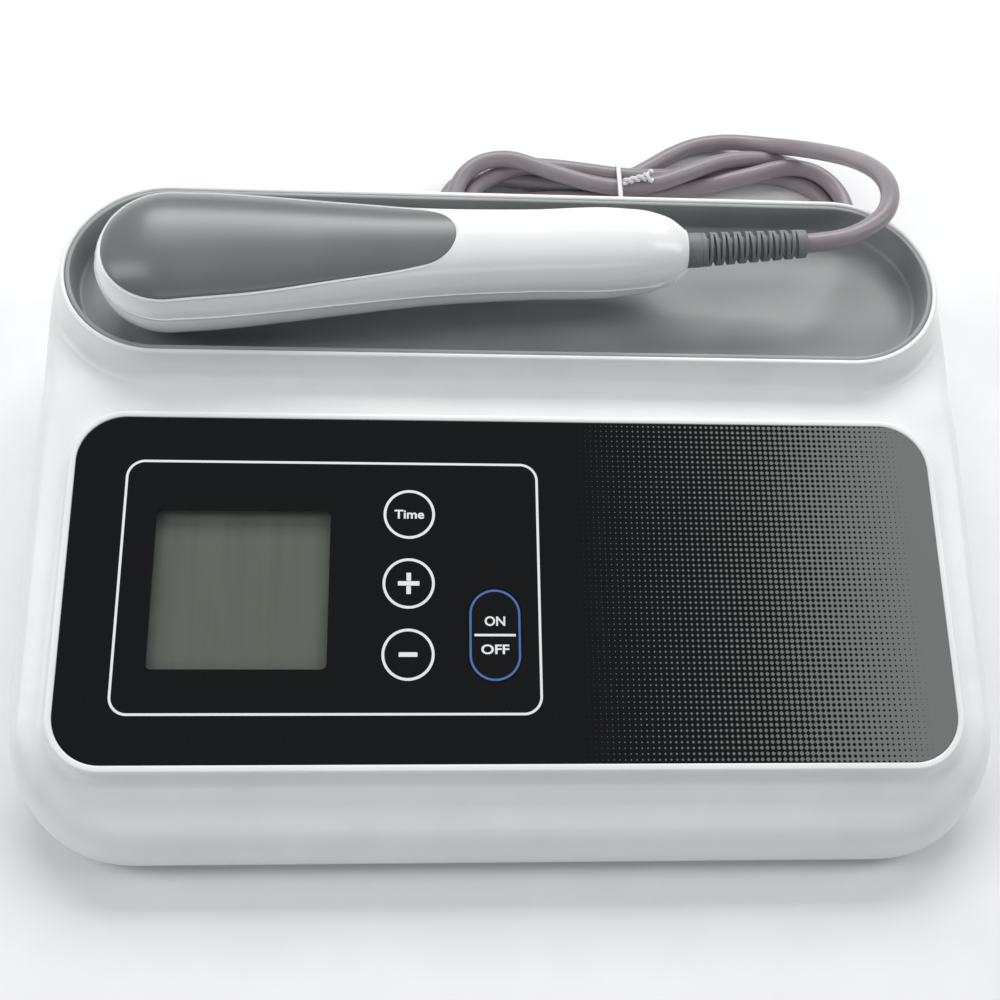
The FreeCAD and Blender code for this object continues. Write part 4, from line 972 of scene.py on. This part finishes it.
def makeTie():
    # Flat band: a small oval profile carried round the strands' outline at the tie, and its
    # two ends twisted together and laid over towards the right.
    at = cordLine[(np.abs(cordLine[:, 0] - tie["x"]) < 1.5) & (cordLine[:, 2] < 22)]
    r = cordFacts["diameter"] / 2 + 0.35
    a = np.linspace(0, 2 * np.pi, 96, endpoint=False)
    way = np.stack([np.cos(a), np.sin(a)], 1)
    hull = (at[:, 1:] @ way.T).max(0) + r             # how far the strands reach each way
    centre = at[:, 1:].mean(0)
    reach = hull - way @ centre
    grid = np.arange(len(a))
    spread = np.abs((grid[:, None] - grid[None] + len(a) // 2) % len(a) - len(a) // 2) * (2 * np.pi / len(a))
    loop = centre + way * (reach[None] / np.maximum(np.cos(spread), 0.05)).min(1)[:, None]
    loop[:, 1] = np.maximum(loop[:, 1], 0.45)
    fine = np.concatenate([loop, loop[:1]])
    s = np.concatenate([[0], np.cumsum(np.linalg.norm(np.diff(fine, axis=0), axis=1))])
    even = np.linspace(0, s[-1], len(a) + 1)[:-1]
    loop = np.stack([np.interp(even, s, fine[:, k]) for k in (0, 1)], 1)
    tangent = np.roll(loop, -1, 0) - np.roll(loop, 1, 0)
    tangent /= np.linalg.norm(tangent, axis=1)[:, None]
    normal = np.stack([tangent[:, 1], -tangent[:, 0]], 1)
    b = np.linspace(0, 2 * np.pi, 12, endpoint=False)
    across = tie["wide"] / 2 * np.sign(np.cos(b)) * np.abs(np.cos(b)) ** 0.5
    thick = tie["thick"] / 2 * np.sign(np.sin(b)) * np.abs(np.sin(b)) ** 0.8
    ring = np.zeros((len(loop), 12, 3))
    ring[..., 0] = tie["x"] + across + (loop[:, 1:2] - centre[1]) * -0.06
    ring[..., 1:] = loop[:, None] + normal[:, None] * (thick + tie["thick"] * 0.3)[None, :, None]
    ring[..., 2] = np.maximum(ring[..., 2], 0.05)
    parts = [(ring, gridFaces(len(loop), 12, loopRows=True, loopCols=True))]
    top = loop[:, 1].max() + 0.4
    t = np.linspace(0, 1, 60)
    for side in (0, np.pi):
        turn = 2 * np.pi * 2.2 * t + side
        parting = smoothStep((t - 0.62) / 0.38)      # the two ends spread at the tip
        x = tie["x"] + 1.0 + t * tie["tail"]
        y = tie["tailY"] + 4.0 * t + 0.75 * np.cos(turn) * (1 + 2.6 * parting)
        z = top + 0.9 - 0.9 * t ** 2 + 0.75 * np.sin(turn)
        parts.append(tubeAlong(np.stack([x, y, z], 1), 0.62, sides=10))
    mesh = meshFrom("wireTie", parts, weld=0.001)
    return addPiece("wireTie", mesh, whitePvc, "root", ["cord_tie"])


wireTie = makeTie()
print("hank tied")


printed = {
    "pitch": 1.62, "dotsFrom": 19.0, "half": 85.0, "dotsTo": 121.0,
    "frame": (-112.4, 7.65, -37.35, 37.35), "frameR": 5.0, "line": 0.72,
    "ringR": 7.13, "ringLine": 0.8, "bed": 0.004, "lift": 0.03,
    "keys": {"key_time": (-30.1, 21.5), "key_plus": (-30.1, 0.5), "key_minus": (-30.1, -20.4)},
    "power": (-5.3, -14.6), "powerHalf": (7.05, 13.05), "powerLine": 0.62,
}


def mathNode(tree, operation, *values):
    # A number node: values are numbers or sockets.
    node = addNode(tree, "ShaderNodeMath", operation=operation)
    for socket, value in zip(node.inputs, values):
        if isinstance(value, (int, float)):
            socket.default_value = value
        else:
            tree.links.new(value, socket)
    return node.outputs[0]


def makePanelMaterial():
    # Black-backed clear acrylic: deep gloss, ink seen from behind. White outline, and a
    # halftone whose grey dots grow to the right until they join and leave shrinking black ones.
    material, tree, surface = newMaterial("backPrintedAcrylic", "#0c0d0e", 0.06, IOR=1.49)
    place = addNode(tree, "ShaderNodeTexCoord")
    turn = addNode(tree, "ShaderNodeMapping", [("Vector", place.outputs["Object"])], vector_type="TEXTURE")
    turn.inputs["Location"].default_value = (0, panel["y"] * mm, panel["z"] * mm)
    turn.inputs["Rotation"].default_value = (panel["tilt"], 0, 0)
    turn.inputs["Scale"].default_value = (mm, mm, mm)
    axes = addNode(tree, "ShaderNodeSeparateXYZ", [("Vector", turn.outputs["Vector"])])
    u, v = axes.outputs["X"], axes.outputs["Y"]
    wave = [mathNode(tree, "COSINE", mathNode(tree, "MULTIPLY", x, 2 * math.pi / printed["pitch"]))
            for x in (u, v)]
    spot = mathNode(tree, "MULTIPLY", mathNode(tree, "ADD", *wave), 0.5)
    level = addNode(tree, "ShaderNodeFloatCurve", in_0=1.0)
    share = addNode(tree, "ShaderNodeMapRange", [("Value", u)])
    share.inputs["From Min"].default_value = printed["dotsFrom"]
    share.inputs["From Max"].default_value = printed["dotsTo"]
    curve = level.mapping.curves[0]
    curve.points[0].location, curve.points[1].location = (0.0, 1.0), (1.0, 0.0)
    curve.points.new((printed["half"] - printed["dotsFrom"]) / (printed["dotsTo"] - printed["dotsFrom"]), 0.5)
    level.mapping.update()
    tree.links.new(share.outputs["Result"], level.inputs["Value"])
    threshold = mathNode(tree, "MULTIPLY_ADD", level.outputs["Value"], 2.1, -1.05)
    over = mathNode(tree, "SUBTRACT", spot, threshold)
    dots = mathNode(tree, "MULTIPLY_ADD", over, 7.0, 0.5)
    dots.node.use_clamp = True
    # white outline: distance to a rounded rectangle
    x0, x1, y0, y1 = printed["frame"]
    away = []
    for axis, low, high in ((u, x0, x1), (v, y0, y1)):
        centred = mathNode(tree, "ABSOLUTE", mathNode(tree, "SUBTRACT", axis, (low + high) / 2))
        away.append(mathNode(tree, "SUBTRACT", centred, (high - low) / 2 - printed["frameR"]))
    outside = [mathNode(tree, "MAXIMUM", d, 0.0) for d in away]
    length = mathNode(tree, "SQRT", mathNode(tree, "ADD", mathNode(tree, "MULTIPLY", outside[0], outside[0]),
                                             mathNode(tree, "MULTIPLY", outside[1], outside[1])))
    within = mathNode(tree, "MINIMUM", mathNode(tree, "MAXIMUM", *away), 0.0)
    distance = mathNode(tree, "ABSOLUTE", mathNode(tree, "SUBTRACT", mathNode(tree, "ADD", length, within),
                                                   printed["frameR"]))
    inside = mathNode(tree, "SUBTRACT", printed["line"] / 2, distance)
    line = mathNode(tree, "MULTIPLY_ADD", inside, 12.0, 0.5)
    line.node.use_clamp = True
    ink = addNode(tree, "ShaderNodeMix", [("Factor", dots)], data_type="RGBA")
    ink.inputs[6].default_value, ink.inputs[7].default_value = hexToLinear("#0c0d0e"), hexToLinear("#777a78")
    both = addNode(tree, "ShaderNodeMix", [("Factor", line)], data_type="RGBA")
    tree.links.new(ink.outputs[2], both.inputs[6])
    both.inputs[7].default_value = hexToLinear("#f4f4f4")
    tree.links.new(both.outputs[2], surface.inputs["Base Color"])
    ripple = addNode(tree, "ShaderNodeTexNoise", [("Vector", place.outputs["Object"])])
    ripple.inputs["Scale"].default_value = 1 / (30 * mm)     # moulded sheet is never quite flat
    bump = addNode(tree, "ShaderNodeBump", [("Height", ripple.outputs["Fac"])])
    bump.inputs["Distance"].default_value = 0.02 * mm
    tree.links.new(bump.outputs["Normal"], surface.inputs["Normal"])
    return material


def makeDisplayMaterial():
    # Reflective liquid-crystal cell: greenish grey, with faint vertical streaks of lighter tone painted in, a
    # painted reflection of the lights in the window above.
    material, tree, surface = newMaterial("liquidCrystalCell", "#737c70", 0.35, IOR=1.5)
    place = addNode(tree, "ShaderNodeTexCoord")
    turn = addNode(tree, "ShaderNodeMapping", [("Vector", place.outputs["Object"])])
    turn.inputs["Scale"].default_value = (1 / (3.2 * mm), 1 / (60 * mm), 1 / (60 * mm))
    # painted reflection: narrow vertical streaks of lighter tone, standing in for the window's reflections
    paintedStreaks = addNode(tree, "ShaderNodeTexNoise", [("Vector", turn.outputs["Vector"])])
    paintedStreaks.inputs["Scale"].default_value = 1.0
    ramp = addNode(tree, "ShaderNodeValToRGB", [("Fac", paintedStreaks.outputs["Fac"])])
    ramp.color_ramp.elements[0].position, ramp.color_ramp.elements[1].position = 0.3, 0.7
    ramp.color_ramp.elements[0].color = hexToLinear("#838c80")
    ramp.color_ramp.elements[1].color = hexToLinear("#8c9589")
    tree.links.new(ramp.outputs["Color"], surface.inputs["Base Color"])
    return material


backPrinted = makePanelMaterial()
displayCell = makeDisplayMaterial()
# clear window over the display: only its gloss shows
clearAcrylic, lensTree, lensSurface = newMaterial("clearAcrylicWindow", "#0b0c0b", 0.05, IOR=1.49, Alpha=0.16)
grain(lensTree, lensSurface, 8.0, 0.002)
# screen-printed inks, thin and matt
inkWhite = plastic("screenInkWhite", "#f4f4f4", "#efefef", 0.45, 0.2, 0.002)
inkBlue = plastic("screenInkBlue", "#4a77bd", "#456fb2", 0.45, 0.2, 0.002)


def flatRing(outerHalf, line, centre, radius):
    # Printed line: a rounded rectangle and its inner offset, given the ink's thickness.
    core, out, rad = roundedRing(outerHalf[0], outerHalf[1], radius, 10, 10, 16)
    rings = []
    low, high = printed["bed"], printed["lift"]
    for g, w in ((0, low), (0, high), (-line, high), (-line, low)):
        p = core + (rad + g)[:, None] * out + centre
        rings.append(onPanel(p[:, 0], p[:, 1], w))
    points = np.stack(rings)
    return points, gridFaces(4, points.shape[1], loopRows=True, loopCols=True)


def bar(centre, halfU, halfV):
    # Printed bar with slightly rounded corners.
    core, out, rad = roundedRing(halfU, halfV, 0.18, 2, 2, 4)
    p = core + rad[:, None] * out + centre
    rings = [onPanel(p[:, 0], p[:, 1], w) for w in (printed["bed"], printed["lift"])]
    n = len(p)
    points = np.concatenate(rings + [onPanel(*centre, w)[None] for w in (printed["bed"], printed["lift"])])
    faces = [list(f) for f in gridFaces(2, n, loopCols=True)]
    return points, faces + endFans(2, n)


def legend(text, centre, capHeight, width):
    # Plain control legend, made a mesh, sized by its own box and laid on the panel.
    curve = bpy.data.curves.new("legend", "FONT")
    curve.body, curve.align_x, curve.align_y = text, "CENTER", "CENTER"
    curve.extrude, curve.offset, curve.resolution_u = 0.5, 0.022, 6
    holder = bpy.data.objects.new("legend", curve)
    mesh = bpy.data.meshes.new_from_object(holder)
    points = np.array([v.co for v in mesh.vertices])
    faces = [list(p.vertices) for p in mesh.polygons]
    bpy.data.objects.remove(holder)
    bpy.data.curves.remove(curve)
    bpy.data.meshes.remove(mesh)
    low, high = points.min(0), points.max(0)
    unit = (points - (low + high) / 2) / (high - low)
    return onPanel(centre[0] + unit[:, 0] * width, centre[1] + unit[:, 1] * capHeight,
                   printed["bed"] + (unit[:, 2] + 0.5) * (printed["lift"] - printed["bed"])), faces


def makePrint():
    ringHalf = (printed["ringR"] + printed["ringLine"] / 2,) * 2
    for name, at in printed["keys"].items():
        parts = [flatRing(ringHalf, printed["ringLine"], np.array(at), ringHalf[0] - 1e-3)]
        if name == "key_time":
            parts.append(legend("Time", at, 2.75, 8.7))
        else:
            parts.append(bar(np.array(at), 3.1 if name == "key_plus" else 2.65, 0.66))
        if name == "key_plus":
            parts.append(bar(np.array(at) + [0, 1.98], 0.66, 1.2))
            parts.append(bar(np.array(at) - [0, 1.98], 0.66, 1.2))
        mesh = meshFrom(name + "Print", parts, weld=0.0005, smooth=False)
        addPiece(name + "Print", mesh, inkWhite, name + "_cap")
    u, v = printed["power"]
    oval = flatRing((printed["powerHalf"][0] + 0.3, printed["powerHalf"][1] + 0.3), printed["powerLine"],
                    np.array([u, v]), printed["powerHalf"][0] + 0.299)
    addPiece("keyPowerOutline", meshFrom("keyPowerOutline", [oval], weld=0.0005, smooth=False), inkBlue,
             "key_on_off_cap")
    words = [legend("ON", (u, v + 4.0), 2.85, 5.9), legend("OFF", (u, v - 4.25), 2.85, 8.0),
             bar(np.array([u, v - 0.1]), 5.95, 0.35)]
    addPiece("keyPowerPrint", meshFrom("keyPowerPrint", words, weld=0.0005, smooth=False), inkWhite,
             "key_on_off_cap")


makePrint()
print("panel printed")

finishes = {
    "base_shell": whiteAbs, "panel_overlay": backPrinted,
    "key_time": backPrinted, "key_plus": backPrinted, "key_minus": backPrinted,
    "key_on_off": backPrinted, "display_lens": clearAcrylic, "display_glass": displayCell,
    "display_frame": blackNylon, "display_board": circuitBoard, "key_switches": blackNylon,
    "display_board_screws": zincSteel, "main_board": circuitBoard, "drive_transformer_core": ferriteMat,
    "drive_transformer_winding": copperMat, "heat_sink": blackAluminium, "output_transistors": blackNylon,
    "capacitors": sleeveMat, "buzzer": blackNylon, "terminal_block": terminalGreen,
    "power_inlet": blackNylon, "cord_gland": greyRubber, "ribbon_cable": ribbonGrey,
    "inlet_leads": redPvc, "cord_leads": cordPvc, "case_screws": zincSteel, "board_screws": zincSteel,
    "rubber_feet": footRubber, "treatment_head": polishedMetal, "head_seal": footRubber,
    "piezo_disc": ceramicMat, "damping_backing": footRubber, "handset_board": circuitBoard,
    "piezo_lead": redPvc, "handset_screws": zincSteel,
}
for name, material in finishes.items():
    nodes[name].data.materials.clear()
    nodes[name].data.materials.append(material)
print("finishes set on %d nodes" % len(finishes))


def makeFloor():
    mesh = bpy.data.meshes.new("floor")
    mesh.from_pydata([(-3, -3, 0), (3, -3, 0), (3, 3, 0), (-3, 3, 0)], [], [(0, 1, 2, 3)])
    floor = bpy.data.objects.new("floor", mesh)
    scene.collection.objects.link(floor)
    material, tree, surface = newMaterial("paleFloor", "#f6f6f7", 0.6)
    grain(tree, surface, 3.0, 0.01, "#f7f7f8", "#f4f4f5")
    mesh.materials.append(material)


def softbox(name, at, towards, size, power):
    lamp = bpy.data.lights.new(name, "AREA")
    lamp.shape, lamp.size, lamp.size_y, lamp.energy = "RECTANGLE", size[0], size[1], power
    holder = bpy.data.objects.new(name, lamp)
    holder.location = at
    holder.rotation_mode = "QUATERNION"
    holder.rotation_quaternion = (Vector(towards) - Vector(at)).to_track_quat("-Z", "Y")
    scene.collection.objects.link(holder)


def makeLight():
    world = bpy.data.worlds.new("room")
    scene.world = world
    world.use_nodes = True
    world.node_tree.nodes["Background"].inputs["Color"].default_value = (0.93, 0.95, 1.0, 1)
    world.node_tree.nodes["Background"].inputs["Strength"].default_value = 0.22
    softbox("rearBank", (0.1, 1.35, 1.15), (0, 0, 0.03), (1.8, 0.6), 24)
    softbox("leftBank", (-1.2, 0.1, 1.0), (0, 0, 0.03), (0.5, 1.4), 8)
    softbox("rightBank", (1.3, 0.2, 1.0), (0, 0, 0.03), (0.5, 1.4), 7)
    softbox("frontFill", (0.0, -1.5, 1.3), (0, 0, 0.03), (1.6, 0.4), 4)


makeFloor()
makeLight()
scene.view_settings.view_transform = "Standard"
print("floor and light set")
